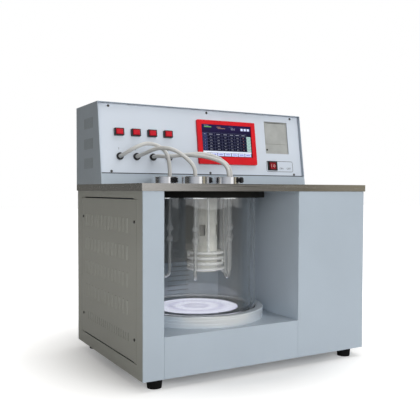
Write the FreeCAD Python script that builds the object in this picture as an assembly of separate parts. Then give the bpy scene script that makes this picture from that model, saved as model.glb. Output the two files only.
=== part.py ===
import FreeCAD, Part
import math
import os

from FreeCAD import Placement, Rotation, Vector

# A bench-top kinematic viscometer: a sheet steel cabinet with an open bay, in which a double glass jar
# holds four U-tube viscometers, and a sloping console with a screen, a printer, buttons and hose fittings.
# Millimetres. The origin is on the bench below the middle of the cabinet, +Z is up and the front faces -Y.

# Sheet steel body
BODY_WIDTH = 600.0
BODY_DEPTH = 427.0
BODY_HEIGHT = 392.0
SHEET = 1.5
FOLD = 14.0
PAN_FLANGE = 20.0
SEAM_BEVEL = 0.8
FIT_GAP = 0.3

# Rubber feet
FOOT_HEIGHT = 22.0
FOOT_TOP_RADIUS = 17.5
FOOT_BASE_RADIUS = 15.5
FOOT_INSET_X = 38.0
FOOT_INSET_Y = 27.0

# Stainless worktop, a folded tray whose skirt hangs round the top of the body
WORKTOP_OVERHANG = 2.4
WORKTOP_SKIRT = 16.0
WORKTOP_SHEET = 2.0
SKIRT_SHEET = 1.5
CABLE_SLOT_WIDTH = 120.0
CABLE_SLOT_DEPTH = 30.0
CABLE_SLOT_INSET = 122.4
CABLE_SLOT_Y = 60.0

# Open bay
PILLAR_WIDTH = 48.6
BAY_WIDTH = 347.6
BAY_DEPTH = 363.5
SILL_HEIGHT = 88.0
BAY_VENT_COUNT = 6
BAY_VENT_PITCH = 13.0
BAY_VENT_WIDTH = 70.0
BAY_VENT_HEIGHT = 3.0
BAY_VENT_INSET = 211.4
BAY_VENT_BASE = 30.0

# Side openings, their panels and the slots in them
SIDE_OPENING_FRONT = 31.5
SIDE_OPENING_REAR = 35.5
SIDE_OPENING_BASE = 29.0
SIDE_OPENING_HEIGHT = 348.0
SIDE_PANEL_GAP = 0.8
SIDE_PANEL_SLIT = 3.0
REBATE = 8.0
LOUVRE_RUN = 9.0
LOUVRE_RISE = 2.2
LOUVRE_HEIGHT = 32.0
LOUVRE_PITCH = 22.8
LOUVRE_COUNT = 13
LOUVRE_ROWS = 4
LOUVRE_ROW_PITCH = 59.0
LOUVRE_ROW_TOP = 59.0
SLOT_WIDTH = 2.4
FOOT_SLOT_PITCH = 14.0
FOOT_SLOT_COUNT = 20
FOOT_SLOT_HEIGHT = 18.0
FOOT_SLOT_BASE = 49.0
SIDE_SCREW_INSET = 12.0
SIDE_SCREW_RISE = 50.0
SCREW_RADIUS = 1.5
SCREW_HOLE_GAP = 0.1
SCREW_LENGTH = 6.0
SCREW_HEAD_RADIUS = 3.2
SCREW_HEAD_HEIGHT = 1.4

# Rear vents
REAR_VENT_WIDTH = 90.0
REAR_VENT_HEIGHT = 3.0
REAR_VENT_PITCH = 11.0
REAR_VENT_COUNT = 12
REAR_VENT_BASE = 60.0
REAR_VENT_INSET = 102.0

# Console, its front leaning back
CONSOLE_HEIGHT = 199.0
CONSOLE_DEPTH = 191.9
CONSOLE_TILT = 8.17
CONSOLE_VENT_COUNT = 9
CONSOLE_VENT_PITCH = 12.0
CONSOLE_VENT_WIDTH = 110.0
CONSOLE_VENT_HEIGHT = 3.0
CONSOLE_VENT_INSET = 152.4
CONSOLE_VENT_BASE = 50.0
CONSOLE_REBATE = 14.0

# Control panel, set back in the console; heights are measured up the slope from the worktop
PANEL_RECESS = 8.5
PANEL_SHEET = 2.0
PANEL_BOTTOM = 25.7
PANEL_GAP = 0.4
PANEL_HEIGHT = 174.0
PANEL_FRAME = 15.0
PANEL_SCREW_INSET = 29.7
PANEL_SCREW_LOW = 32.7
PANEL_SCREW_HIGH = 193.2
PANEL_SCREW_HEAD = 0.8

# Touch screen and its red bezel
SCREEN_INSET = 246.1
SCREEN_RISE = 114.4
BEZEL_WIDTH = 180.0
BEZEL_HEIGHT = 117.0
BEZEL_DEPTH = 6.0
BEZEL_CORNER = 3.0
BEZEL_LIP = 2.5
DISPLAY_WIDTH = 154.0
DISPLAY_HEIGHT = 86.0
DISPLAY_RISE = 4.6
SCREEN_BORDER = 5.0
SCREEN_DEPTH = 26.0

# Push buttons
STATION_COUNT = 4
STATION_INSET = 53.1
STATION_PITCH = 43.8
BUTTON_RISE = 129.4
BUTTON_HEAD_WIDTH = 24.0
BUTTON_HEAD_HEIGHT = 18.0
BUTTON_HEAD_DEPTH = 7.0
BUTTON_BARREL_WIDTH = 20.5
BUTTON_BARREL_HEIGHT = 15.7
BUTTON_BARREL_DEPTH = 18.0
BUTTON_CORNER = 1.5
CAP_WIDTH = 17.7
CAP_HEIGHT = 12.9
CAP_PROUD = 2.6
CAP_DEPTH = 10.0
CAP_BEVEL = 1.0
CAP_TRAVEL = 2.2
CAP_GAP = 0.25

# Hose fittings and hoses
FITTING_RISE = 69.7
FITTING_RADIUS = 9.0
FITTING_FLANGE = 3.0
FITTING_STEM_RADIUS = 6.0
FITTING_STEM = 12.0
FITTING_NUT_RADIUS = 9.0
FITTING_NUT = 5.0
FITTING_BORE = 2.5
HOSE_RADIUS = 4.7

# Panel printer
PRINTER_INSET = 81.15
PRINTER_RISE = 136.2
PRINTER_WIDTH = 77.7
PRINTER_HEIGHT = 90.2
PRINTER_SETBACK = 2.5
PRINTER_DEPTH = 52.0
PRINTER_WALL = 2.0
PRINTER_BORDER = 3.2
PRINTER_STRIP = 27.0
DOOR_THICKNESS = 2.0
DOOR_GAP = 0.4
DOOR_PIN_RADIUS = 0.9
DOOR_PIN_LENGTH = 1.8
DOOR_PIN_GAP = 0.05
DOOR_HINGE_DROP = 4.4
ROLL_RADIUS = 15.0
ROLL_CORE_RADIUS = 6.0
ROLL_WIDTH = 57.0
FEED_RADIUS = 2.5
FEED_GAP = 0.08
FEED_PROUD = 1.2
FEED_LENGTH = 6.0
FEED_INSET_X = 6.0
FEED_INSET_UP = 10.7

# Rocker switch
SWITCH_INSET = 102.25
SWITCH_RISE = 56.25
SWITCH_WIDTH = 31.7
SWITCH_HEIGHT = 26.1
SWITCH_FLANGE = 2.5
SWITCH_CORNER = 1.0
SWITCH_BODY_WIDTH = 28.0
SWITCH_BODY_HEIGHT = 23.0
SWITCH_BODY_DEPTH = 20.0
ROCKER_HALF = 10.6
ROCKER_HEIGHT = 18.8
ROCKER_WALL_GAP = 0.9
ROCKER_CROWN = 6.4
ROCKER_VALLEY = 4.0
ROCKER_DEPTH = 4.0
ROCKER_TILT = 7.0
ROCKER_PIVOT_DEPTH = 3.2
ROCKER_PIN_RADIUS = 1.2
ROCKER_PIN_LENGTH = 1.0
ROCKER_PIN_GAP = 0.05
ROCKER_SIDE_GAP = 0.3

# Power inlet in the console's rear panel
INLET_INSET = 122.4
INLET_RISE = 60.0
INLET_WIDTH = 28.0
INLET_HEIGHT = 20.0
INLET_DEPTH = 24.0
INLET_FLANGE_WIDTH = 50.0
INLET_FLANGE_HEIGHT = 24.0
INLET_FLANGE = 2.0
INLET_WALL = 2.0
INLET_CAVITY = 18.0
INLET_BLADE_SPACING = 7.0
INLET_BLADE_WIDTH = 2.0
INLET_BLADE_HEIGHT = 4.0
INLET_BLADE_DROP = 2.0

# Bath: base, light, seal, glass and top ring
JAR_INSET = 174.4
JAR_Y = -30.0
BASE_RADIUS = 164.0
BASE_HEIGHT = 25.0
BASE_RECESS = 14.0
BASE_CHAMFER = 1.5
LIGHT_RADIUS = 102.0
LIGHT_HEIGHT = 6.0
SLEEVE_RADIUS = 145.0
SLEEVE_WALL = 4.0
JAR_RADIUS = 133.0
JAR_WALL = 4.0
JAR_BOTTOM = 5.0
GLASS_GAP = 0.6
RECESS_GAP = 2.0
TOP_RING_RADIUS = 166.0
TOP_RING_BORE_GAP = 8.0
TOP_RING_DROP = 15.0
TOP_RING_GROOVE = 10.0
GLASS_HEADROOM = 1.0

# Viscometer holders on the worktop
HOLDER_COUNT = 4
HOLDER_PITCH_RADIUS = 85.0
HOLDER_FIRST_ANGLE = 180.0
HOLDER_STEP_ANGLE = 60.0
HOLDER_RADIUS = 32.0
HOLDER_HEIGHT = 18.0
HOLDER_SLEEVE_RADIUS = 27.0
HOLDER_SLEEVE_GAP = 0.5
HOLDER_SLEEVE_DROP = 34.0
HOLDER_BORE = 22.5
PLUG_RADIUS = 24.8
PLUG_GAP = 0.3
PLUG_HEIGHT = 8.0
PLUG_SEAT = 6.0
HOLDER_CHAMFER = 0.8

# Clamping thumbscrews, the way each one points round its ring in degrees
THUMB_ANGLES = (-80.0, 0.0, -60.0, 0.0)
THUMB_RISE = 10.0
THUMB_SHAFT_RADIUS = 2.0
THUMB_SHAFT_GAP = 0.05
THUMB_NECK_RADIUS = 4.0
THUMB_NECK = 3.0
THUMB_KNOB_RADIUS = 7.0
THUMB_KNOB = 6.5
THUMB_FLUTES = 6
THUMB_FLUTE_RADIUS = 2.0

# Glass U-tube viscometers, the way the hose arm lies from the ring's middle in degrees
ARM_ANGLES = (0.0, -120.0, -100.0, -30.0)
ARM_OFFSET = 12.0
ARM_RADIUS = 3.8
ARM_WALL = 1.1
ARM_TOP_DROP = 2.0
ARM_HOLE_GAP = 0.1
WIDE_ARM_RADIUS = 6.0
WIDE_ARM_START = 60.0
WIDE_ARM_CONE = 12.0
BULB_RADIUS = 8.5
BULB_HEIGHTS = (78.0, 104.0)
TUBE_REACH = 224.0

# Stirrer, guide tube, heater coil and temperature probe
STIRRER_OFFSET_X = 19.0
STIRRER_OFFSET_Y = -11.0
GUIDE_RADIUS = 29.0
GUIDE_WALL = 1.5
GUIDE_LENGTH = 210.0
GUIDE_WINDOW_COUNT = 4
GUIDE_WINDOW_WIDTH = 14.0
GUIDE_WINDOW_HEIGHT = 26.0
GUIDE_WINDOW_DROP = 96.0
MOTOR_RADIUS = 20.0
MOTOR_HEIGHT = 70.0
MOTOR_BOSS_RADIUS = 9.0
MOTOR_BOSS = 6.0
SHAFT_RADIUS = 4.0
SHAFT_GAP = 0.05
SHAFT_LENGTH = 150.0
SHAFT_ENTRY = 20.0
HUB_RADIUS = 8.0
HUB_HEIGHT = 12.0
BLADE_COUNT = 3
BLADE_REACH = 23.0
BLADE_WIDTH = 12.0
BLADE_THICKNESS = 2.0
BLADE_PITCH = 35.0
COIL_RADIUS = 42.0
COIL_TUBE_RADIUS = 4.0
COIL_PITCH = 13.0
COIL_LOOPS = 4
COIL_BASE = 116.0
COIL_START_ANGLE = 70.0
COIL_LINK_RADIUS = 3.0
COIL_LEG_RADIUS = 3.5
PROBE_RADIUS = 3.0
PROBE_LENGTH = 170.0
PROBE_X = 40.0
PROBE_Y = 66.0
PROBE_HEAD_RADIUS = 8.0
PROBE_HEAD = 12.0

# Parts inside the cabinet and the console
PUMP_INSET = 72.4
PUMP_REAR_INSET = 85.9
PUMP_WIDTH = 90.0
PUMP_DEPTH = 60.0
PUMP_HEIGHT = 45.0
PUMP_MOTOR_RADIUS = 20.0
PUMP_MOTOR_LENGTH = 60.0
SUPPLY_INSET = 102.0
SUPPLY_REAR_INSET = 173.5
SUPPLY_WIDTH = 110.0
SUPPLY_DEPTH = 200.0
SUPPLY_HEIGHT = 60.0
BOARD_INSET = 242.4
BOARD_REAR_INSET = 85.9
BOARD_WIDTH = 70.0
BOARD_DEPTH = 100.0
BOARD_SHEET = 1.6
BOARD_POST = 8.0
BOARD_POST_RADIUS = 3.0
BOARD_CHIP = 14.0
BOARD_CHIP_HEIGHT = 3.0

# Places that follow from the sizes above
HALF_WIDTH = BODY_WIDTH / 2
HALF_DEPTH = BODY_DEPTH / 2
BODY_BASE = FOOT_HEIGHT
SKIRT_EDGE = BODY_BASE + BODY_HEIGHT
WORKTOP = SKIRT_EDGE + WORKTOP_SKIRT
SHEET_TOP = WORKTOP - WORKTOP_SHEET
TOP_HALF_WIDTH = HALF_WIDTH + WORKTOP_OVERHANG
TOP_HALF_DEPTH = HALF_DEPTH + WORKTOP_OVERHANG
BAY_LEFT = -HALF_WIDTH + PILLAR_WIDTH
BAY_RIGHT = BAY_LEFT + BAY_WIDTH
BAY_BACK = -HALF_DEPTH + BAY_DEPTH
BAY_FLOOR = BODY_BASE + SILL_HEIGHT
FOLD_BASE = BODY_BASE + PAN_FLANGE + 1.0
OPENING_FRONT = -HALF_DEPTH + SIDE_OPENING_FRONT
OPENING_REAR = HALF_DEPTH - SIDE_OPENING_REAR
OPENING_BASE = BODY_BASE + SIDE_OPENING_BASE
OPENING_TOP = OPENING_BASE + SIDE_OPENING_HEIGHT
CONSOLE_TOP = WORKTOP + CONSOLE_HEIGHT
CONSOLE_FRONT = TOP_HALF_DEPTH - CONSOLE_DEPTH
TILT = math.radians(CONSOLE_TILT)
PANEL_FACE = -PANEL_RECESS
PANEL_BACK = PANEL_FACE - PANEL_SHEET
PANEL_HALF_WIDTH = TOP_HALF_WIDTH - SHEET - PANEL_GAP
PANEL_TOP = PANEL_BOTTOM + PANEL_GAP + PANEL_HEIGHT
DISPLAY_UP = SCREEN_RISE + DISPLAY_RISE
BASE_FLOOR = BAY_FLOOR + BASE_HEIGHT - BASE_RECESS
GLASS_FOOT = BASE_FLOOR + LIGHT_HEIGHT
TOP_RING_BORE = HOLDER_PITCH_RADIUS + HOLDER_SLEEVE_RADIUS + TOP_RING_BORE_GAP
RING_FOOT = SKIRT_EDGE - TOP_RING_DROP
GLASS_TOP = RING_FOOT + TOP_RING_GROOVE - GLASS_HEADROOM
HOLDER_TOP = WORKTOP + HOLDER_HEIGHT
PLUG_FOOT = WORKTOP + PLUG_SEAT
ARM_TOP = HOLDER_TOP - ARM_TOP_DROP
BEND_CENTRE = WORKTOP - TUBE_REACH + ARM_OFFSET + ARM_RADIUS
MOTOR_FOOT = SHEET_TOP - MOTOR_HEIGHT
GUIDE_FOOT = SHEET_TOP - GUIDE_LENGTH
PRINTER_FACE = PANEL_FACE - PRINTER_SETBACK
PRINTER_LOW = PRINTER_RISE - PRINTER_HEIGHT / 2
PRINTER_HIGH = PRINTER_RISE + PRINTER_HEIGHT / 2
DOOR_LOW = PRINTER_LOW + PRINTER_STRIP
DOOR_HINGE = PRINTER_HIGH - DOOR_HINGE_DROP
DOOR_HALF_WIDTH = PRINTER_WIDTH / 2 - PRINTER_BORDER
ROCKER_PIVOT = PANEL_FACE - ROCKER_PIVOT_DEPTH
STATIONS = [STATION_INSET - TOP_HALF_WIDTH + STATION_PITCH * index for index in range(STATION_COUNT)]

# Places across the width, each kept at its distance from the edge that it belongs to
SCREEN_X = TOP_HALF_WIDTH - SCREEN_INSET
PRINTER_X = TOP_HALF_WIDTH - PRINTER_INSET
SWITCH_X = TOP_HALF_WIDTH - SWITCH_INSET
PANEL_SCREW_X = TOP_HALF_WIDTH - PANEL_SCREW_INSET
INLET_X = TOP_HALF_WIDTH - INLET_INSET
CABLE_SLOT_X = TOP_HALF_WIDTH - CABLE_SLOT_INSET
CONSOLE_VENT_X = CONSOLE_VENT_INSET - TOP_HALF_WIDTH
REAR_VENT_X = HALF_WIDTH - REAR_VENT_INSET
BAY_VENT_X = BAY_LEFT + BAY_VENT_INSET
PUMP_X = PUMP_INSET - TOP_HALF_WIDTH
BOARD_X = BOARD_INSET - TOP_HALF_WIDTH
SUPPLY_X = HALF_WIDTH - SUPPLY_INSET
JAR_X = BAY_LEFT + JAR_INSET
STIRRER_X = JAR_X + STIRRER_OFFSET_X
STIRRER_Y = JAR_Y + STIRRER_OFFSET_Y

# Places along the depth of what keeps its distance from the rear
PUMP_Y = TOP_HALF_DEPTH - PUMP_REAR_INSET
SUPPLY_Y = HALF_DEPTH - SUPPLY_REAR_INSET
BOARD_Y = TOP_HALF_DEPTH - BOARD_REAR_INSET


def box(x0, x1, y0, y1, z0, z1):
    """A block between two corners."""
    return Part.makeBox(x1 - x0, y1 - y0, z1 - z0, Vector(x0, y0, z0))


def block(x, y, width, height, z0, z1):
    """A block centred on x and y."""
    return box(x - width / 2, x + width / 2, y - height / 2, y + height / 2, z0, z1)


def rounded_block(x, y, width, height, z0, z1, corner):
    """A block centred on x and y with its four upright edges rounded."""
    solid = block(x, y, width, height, z0, z1)
    upright = [edge for edge in solid.Edges if edge.BoundBox.ZLength > (z1 - z0) / 2]
    return solid.makeFillet(corner, upright)


def rod(radius, z0, z1, x=0.0, y=0.0):
    """An upright cylinder."""
    return Part.makeCylinder(radius, z1 - z0, Vector(x, y, z0))


def tube(outer, inner, z0, z1, x=0.0, y=0.0):
    """An upright tube."""
    return rod(outer, z0, z1, x, y).cut(rod(inner, z0, z1, x, y))


def rod_along(radius, start, end):
    """A cylinder from one point to another."""
    way = end.sub(start)
    return Part.makeCylinder(radius, way.Length, start, way)


def on_panel(shape):
    """Carries a shape drawn flat, with y up the slope and z out of it, to the console's sloping front."""
    carried = shape.copy()
    lean = Placement(Vector(0, CONSOLE_FRONT, WORKTOP), Rotation(Vector(1, 0, 0), 90 - CONSOLE_TILT))
    carried.Placement = lean.multiply(carried.Placement)
    return carried


def at_jar(shape):
    """Moves a shape drawn round the Z axis to the jar's axis."""
    moved = shape.copy()
    moved.translate(Vector(JAR_X, JAR_Y, 0))
    return moved


def at_stirrer(shape):
    """Moves a shape drawn round the Z axis to the stirrer's axis."""
    moved = shape.copy()
    moved.translate(Vector(STIRRER_X, STIRRER_Y, 0))
    return moved


def holder_places():
    """The middles of the four holder rings on the worktop."""
    places = []
    for index in range(HOLDER_COUNT):
        angle = math.radians(HOLDER_FIRST_ANGLE + HOLDER_STEP_ANGLE * index)
        x = JAR_X + HOLDER_PITCH_RADIUS * math.cos(angle)
        y = JAR_Y + HOLDER_PITCH_RADIUS * math.sin(angle)
        places.append(Vector(x, y, 0))
    return places


def group(shapes):
    """Separate solids kept in one sub-part."""
    return Part.makeCompound(shapes)


# Cabinet

def rubber_feet():
    feet = []
    for x in (-HALF_WIDTH + FOOT_INSET_X, HALF_WIDTH - FOOT_INSET_X):
        for y in (-HALF_DEPTH + FOOT_INSET_Y, HALF_DEPTH - FOOT_INSET_Y):
            feet.append(Part.makeCone(FOOT_BASE_RADIUS, FOOT_TOP_RADIUS, FOOT_HEIGHT, Vector(x, y, 0)))
    return group(feet)


def base_pan():
    half_x = HALF_WIDTH - SHEET
    half_y = HALF_DEPTH - SHEET
    tray = box(-half_x, half_x, -half_y, half_y, BODY_BASE, BODY_BASE + PAN_FLANGE)
    inside = box(-half_x + SHEET, half_x - SHEET, -half_y + SHEET, half_y - SHEET,
                 BODY_BASE + SHEET, BODY_BASE + PAN_FLANGE)
    return tray.cut(inside)


def front_sheet(x0, x1, top):
    """A front sheet with its two upright edges bevelled, so that the seams between sheets show."""
    sheet = box(x0, x1, -HALF_DEPTH, -HALF_DEPTH + SHEET, BODY_BASE, top)
    upright = [edge for edge in sheet.Edges
               if edge.BoundBox.ZLength > 1 and edge.BoundBox.YMax < -HALF_DEPTH + SHEET / 2]
    return sheet.makeChamfer(SEAM_BEVEL, upright)


def front_left_pillar():
    corner = -HALF_WIDTH + SHEET
    fold = box(corner, corner + SHEET, -HALF_DEPTH + SHEET, -HALF_DEPTH + SHEET + FOLD, FOLD_BASE, SHEET_TOP)
    return front_sheet(-HALF_WIDTH, BAY_LEFT, SHEET_TOP).fuse(fold).removeSplitter()


def front_sill():
    fold = box(BAY_LEFT, BAY_RIGHT, -HALF_DEPTH + SHEET, -HALF_DEPTH + SHEET + FOLD,
               BAY_FLOOR - 2 * SHEET, BAY_FLOOR - SHEET)
    return front_sheet(BAY_LEFT, BAY_RIGHT, BAY_FLOOR).fuse(fold).removeSplitter()


def right_front_panel():
    corner = HALF_WIDTH - SHEET
    fold = box(corner - SHEET, corner, -HALF_DEPTH + SHEET, -HALF_DEPTH + SHEET + FOLD, FOLD_BASE, SHEET_TOP)
    return front_sheet(BAY_RIGHT, HALF_WIDTH, SHEET_TOP).fuse(fold).removeSplitter()


def side_opening(x0, x1, margin):
    return box(x0, x1, OPENING_FRONT + margin, OPENING_REAR - margin,
               OPENING_BASE + margin, OPENING_TOP - margin)


def side_screw_places():
    places = []
    for y in (OPENING_FRONT + SIDE_SCREW_INSET, OPENING_REAR - SIDE_SCREW_INSET):
        for z in (OPENING_BASE + SIDE_SCREW_RISE, OPENING_TOP - SIDE_SCREW_RISE):
            places.append((y, z))
    return places


def screw_holes(x0, x1):
    radius = SCREW_RADIUS + SCREW_HOLE_GAP
    return [rod_along(radius, Vector(x0, y, z), Vector(x1, y, z)) for y, z in side_screw_places()]


def left_side_frame():
    outside = -HALF_WIDTH
    sheet = box(outside, outside + SHEET, -HALF_DEPTH + SHEET, HALF_DEPTH - SHEET, BODY_BASE, SHEET_TOP)
    sheet = sheet.cut(side_opening(outside - 1, outside + SHEET + 1, 0))
    strips = side_opening(outside + SHEET, outside + 2 * SHEET, -REBATE)
    inner = SIDE_SCREW_INSET + REBATE
    strips = strips.cut(box(outside, 0, OPENING_FRONT + inner, OPENING_REAR - inner, BODY_BASE, SHEET_TOP))
    holes = screw_holes(outside, outside + 3 * SHEET)
    return sheet.fuse(strips).removeSplitter().cut(holes)


def louvre_places():
    """The mouth of each louvre: its place along the side and its lower end."""
    middle = (OPENING_FRONT + OPENING_REAR) / 2
    places = []
    for row in range(LOUVRE_ROWS):
        low = OPENING_TOP - LOUVRE_ROW_TOP - LOUVRE_HEIGHT / 2 - row * LOUVRE_ROW_PITCH
        for index in range(LOUVRE_COUNT):
            places.append((middle + (index - (LOUVRE_COUNT - 1) / 2) * LOUVRE_PITCH, low))
    return places


def louvre_hoods(face_x, out, rise, inset):
    """Wedges that swell out of a side panel towards the rear, or their hollows when inset by the sheet."""
    hoods = []
    for y, z in louvre_places():
        low = z + inset
        front = y + inset
        rear = y + LOUVRE_RUN + inset
        corners = [(face_x - out * SHEET, front), (face_x + out * rise, rear), (face_x - out * SHEET, rear)]
        points = [Vector(x, along, low) for x, along in corners]
        face = Part.Face(Part.makePolygon(points + points[:1]))
        hoods.append(face.extrude(Vector(0, 0, LOUVRE_HEIGHT - 2 * inset)))
    return hoods


def foot_slots(x0, x1):
    middle = (OPENING_FRONT + OPENING_REAR) / 2
    low = OPENING_BASE + FOOT_SLOT_BASE - FOOT_SLOT_HEIGHT / 2
    cutters = []
    for index in range(FOOT_SLOT_COUNT):
        y = middle + (index - (FOOT_SLOT_COUNT - 1) / 2) * FOOT_SLOT_PITCH
        cutters.append(box(x0, x1, y - SLOT_WIDTH / 2, y + SLOT_WIDTH / 2, low, low + FOOT_SLOT_HEIGHT))
    return cutters


def louvred(panel, face_x, out):
    """Presses the louvres out of a side panel and cuts the slots and screw holes in it."""
    x0, x1 = sorted((face_x - out * (SHEET + 1), face_x + out))
    panel = panel.fuse(louvre_hoods(face_x, out, LOUVRE_RISE, 0)).removeSplitter()
    panel = panel.cut(louvre_hoods(face_x, out, LOUVRE_RISE - SHEET / 2, SHEET / 2))
    return panel.cut(foot_slots(x0, x1)).cut(screw_holes(x0, x1))


def left_louvre_panel():
    outside = -HALF_WIDTH
    panel = box(outside, outside + SHEET, OPENING_FRONT + SIDE_PANEL_GAP, OPENING_REAR - SIDE_PANEL_GAP,
                OPENING_BASE + SIDE_PANEL_SLIT, OPENING_TOP - SIDE_PANEL_SLIT)
    return louvred(panel, outside, -1)


def right_side_panel():
    outside = HALF_WIDTH
    panel = box(outside - SHEET, outside, -HALF_DEPTH + SHEET, HALF_DEPTH - SHEET, BODY_BASE, SHEET_TOP)
    return louvred(panel, outside, 1)


def pan_head_screw(tip_x, face_x, y, z):
    out = 1 if face_x > tip_x else -1
    shank = rod_along(SCREW_RADIUS, Vector(tip_x, y, z), Vector(face_x, y, z))
    head = rod_along(SCREW_HEAD_RADIUS, Vector(face_x, y, z), Vector(face_x + out * SCREW_HEAD_HEIGHT, y, z))
    return shank.fuse(head).removeSplitter()


def side_screws():
    screws = []
    for y, z in side_screw_places():
        screws.append(pan_head_screw(-HALF_WIDTH + SCREW_LENGTH, -HALF_WIDTH, y, z))
        screws.append(pan_head_screw(HALF_WIDTH - SCREW_LENGTH, HALF_WIDTH, y, z))
    return screws


def rear_panel():
    panel = box(-HALF_WIDTH, HALF_WIDTH, HALF_DEPTH - SHEET, HALF_DEPTH, BODY_BASE, SHEET_TOP)
    cutters = []
    for x in (-REAR_VENT_X, REAR_VENT_X):
        for index in range(REAR_VENT_COUNT):
            z = BODY_BASE + REAR_VENT_BASE + index * REAR_VENT_PITCH
            cutters.append(box(x - REAR_VENT_WIDTH / 2, x + REAR_VENT_WIDTH / 2,
                               HALF_DEPTH - SHEET - 1, HALF_DEPTH + 1, z, z + REAR_VENT_HEIGHT))
    return panel.cut(cutters)


def bay_floor():
    return box(BAY_LEFT, BAY_RIGHT, -HALF_DEPTH + SHEET, BAY_BACK, BAY_FLOOR - SHEET, BAY_FLOOR)


def bay_liner():
    outer = box(BAY_LEFT - SHEET, BAY_RIGHT + SHEET, -HALF_DEPTH + SHEET, BAY_BACK + SHEET,
                BAY_FLOOR - SHEET, SHEET_TOP)
    inner = box(BAY_LEFT, BAY_RIGHT, -HALF_DEPTH, BAY_BACK, BAY_FLOOR - 2 * SHEET, SHEET_TOP + 1)
    cutters = [inner]
    for index in range(BAY_VENT_COUNT):
        z = BAY_FLOOR + BAY_VENT_BASE + index * BAY_VENT_PITCH
        cutters.append(box(BAY_VENT_X - BAY_VENT_WIDTH / 2, BAY_VENT_X + BAY_VENT_WIDTH / 2,
                           BAY_BACK - 1, BAY_BACK + SHEET + 1, z, z + BAY_VENT_HEIGHT))
    return outer.cut(cutters)


def worktop():
    half_x = TOP_HALF_WIDTH - SKIRT_SHEET
    half_y = TOP_HALF_DEPTH - SKIRT_SHEET
    tray = box(-TOP_HALF_WIDTH, TOP_HALF_WIDTH, -TOP_HALF_DEPTH, TOP_HALF_DEPTH, SKIRT_EDGE, WORKTOP)
    cutters = [box(-half_x, half_x, -half_y, half_y, SKIRT_EDGE - 1, SHEET_TOP)]
    for place in holder_places():
        hole = HOLDER_SLEEVE_RADIUS + HOLDER_SLEEVE_GAP
        cutters.append(rod(hole, SHEET_TOP - 1, WORKTOP + 1, place.x, place.y))
    cutters.append(block(CABLE_SLOT_X, CABLE_SLOT_Y, CABLE_SLOT_WIDTH, CABLE_SLOT_DEPTH,
                         SHEET_TOP - 1, WORKTOP + 1))
    return tray.cut(cutters)


# Console

def sloping_prism(half_width, front_depth, low, high, back):
    """A prism across the console whose front lies a given depth behind the sloping front."""
    def front(z):
        return CONSOLE_FRONT + (z - WORKTOP) * math.tan(TILT) + front_depth / math.cos(TILT)

    corners = [(front(low), low), (front(high), high), (back, high), (back, low)]
    points = [Vector(-half_width, y, z) for y, z in corners]
    face = Part.Face(Part.makePolygon(points + points[:1]))
    return face.extrude(Vector(2 * half_width, 0, 0))


def console_shell():
    inside = TOP_HALF_WIDTH - SHEET
    frame_back = PANEL_RECESS + PANEL_SHEET + SHEET
    ceiling = CONSOLE_TOP - SHEET
    shell = sloping_prism(TOP_HALF_WIDTH, 0, WORKTOP, CONSOLE_TOP, TOP_HALF_DEPTH)
    shell = shell.cut(sloping_prism(inside, frame_back, WORKTOP - 1, ceiling, TOP_HALF_DEPTH + 1))
    recess = on_panel(box(-inside, inside, PANEL_BOTTOM, 2 * CONSOLE_HEIGHT, PANEL_BACK, PANEL_RECESS))
    shell = shell.cut(recess.common(box(-inside, inside, -HALF_DEPTH, HALF_DEPTH, WORKTOP, ceiling)))
    band = box(-inside, inside, -PANEL_BOTTOM, PANEL_BOTTOM - SHEET, -frame_back - 1, -SHEET)
    window = box(-inside + PANEL_FRAME, inside - PANEL_FRAME, PANEL_BOTTOM + PANEL_FRAME,
                 PANEL_TOP - PANEL_FRAME, -frame_back - 1, PANEL_BACK + 1)
    shell = shell.cut([on_panel(band), on_panel(window)])
    rebate_y = TOP_HALF_DEPTH - SHEET
    rebate = box(-inside, inside, rebate_y - SHEET, rebate_y, WORKTOP, ceiling)
    rebate = rebate.cut(box(-inside + CONSOLE_REBATE, inside - CONSOLE_REBATE, rebate_y - 2 * SHEET,
                            rebate_y + 1, WORKTOP - 1, ceiling - CONSOLE_REBATE))
    shell = shell.fuse(rebate).removeSplitter()
    return shell.cut(panel_screw_holes())


def console_rear_panel():
    edge = TOP_HALF_WIDTH - SHEET - FIT_GAP
    rear = TOP_HALF_DEPTH
    panel = box(-edge, edge, rear - SHEET, rear, WORKTOP, CONSOLE_TOP - SHEET - FIT_GAP)
    half_x = INLET_WIDTH / 2 + FIT_GAP
    half_z = INLET_HEIGHT / 2 + FIT_GAP
    inlet_z = WORKTOP + INLET_RISE
    cutters = [box(INLET_X - half_x, INLET_X + half_x, rear - SHEET - 1, rear + 1,
                   inlet_z - half_z, inlet_z + half_z)]
    for index in range(CONSOLE_VENT_COUNT):
        z = WORKTOP + CONSOLE_VENT_BASE + index * CONSOLE_VENT_PITCH
        cutters.append(box(CONSOLE_VENT_X - CONSOLE_VENT_WIDTH / 2, CONSOLE_VENT_X + CONSOLE_VENT_WIDTH / 2,
                           rear - SHEET - 1, rear + 1, z, z + CONSOLE_VENT_HEIGHT))
    return panel.cut(cutters)


def panel_screw_points():
    points = []
    for x in (-PANEL_SCREW_X, 0.0, PANEL_SCREW_X):
        for up in (PANEL_SCREW_LOW, PANEL_SCREW_HIGH):
            points.append((x, up))
    return points


def panel_screw_holes():
    radius = SCREW_RADIUS + SCREW_HOLE_GAP
    deep = PANEL_BACK - 2 * SHEET
    return [on_panel(rod(radius, deep, PANEL_FACE + 1, x, up)) for x, up in panel_screw_points()]


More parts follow.
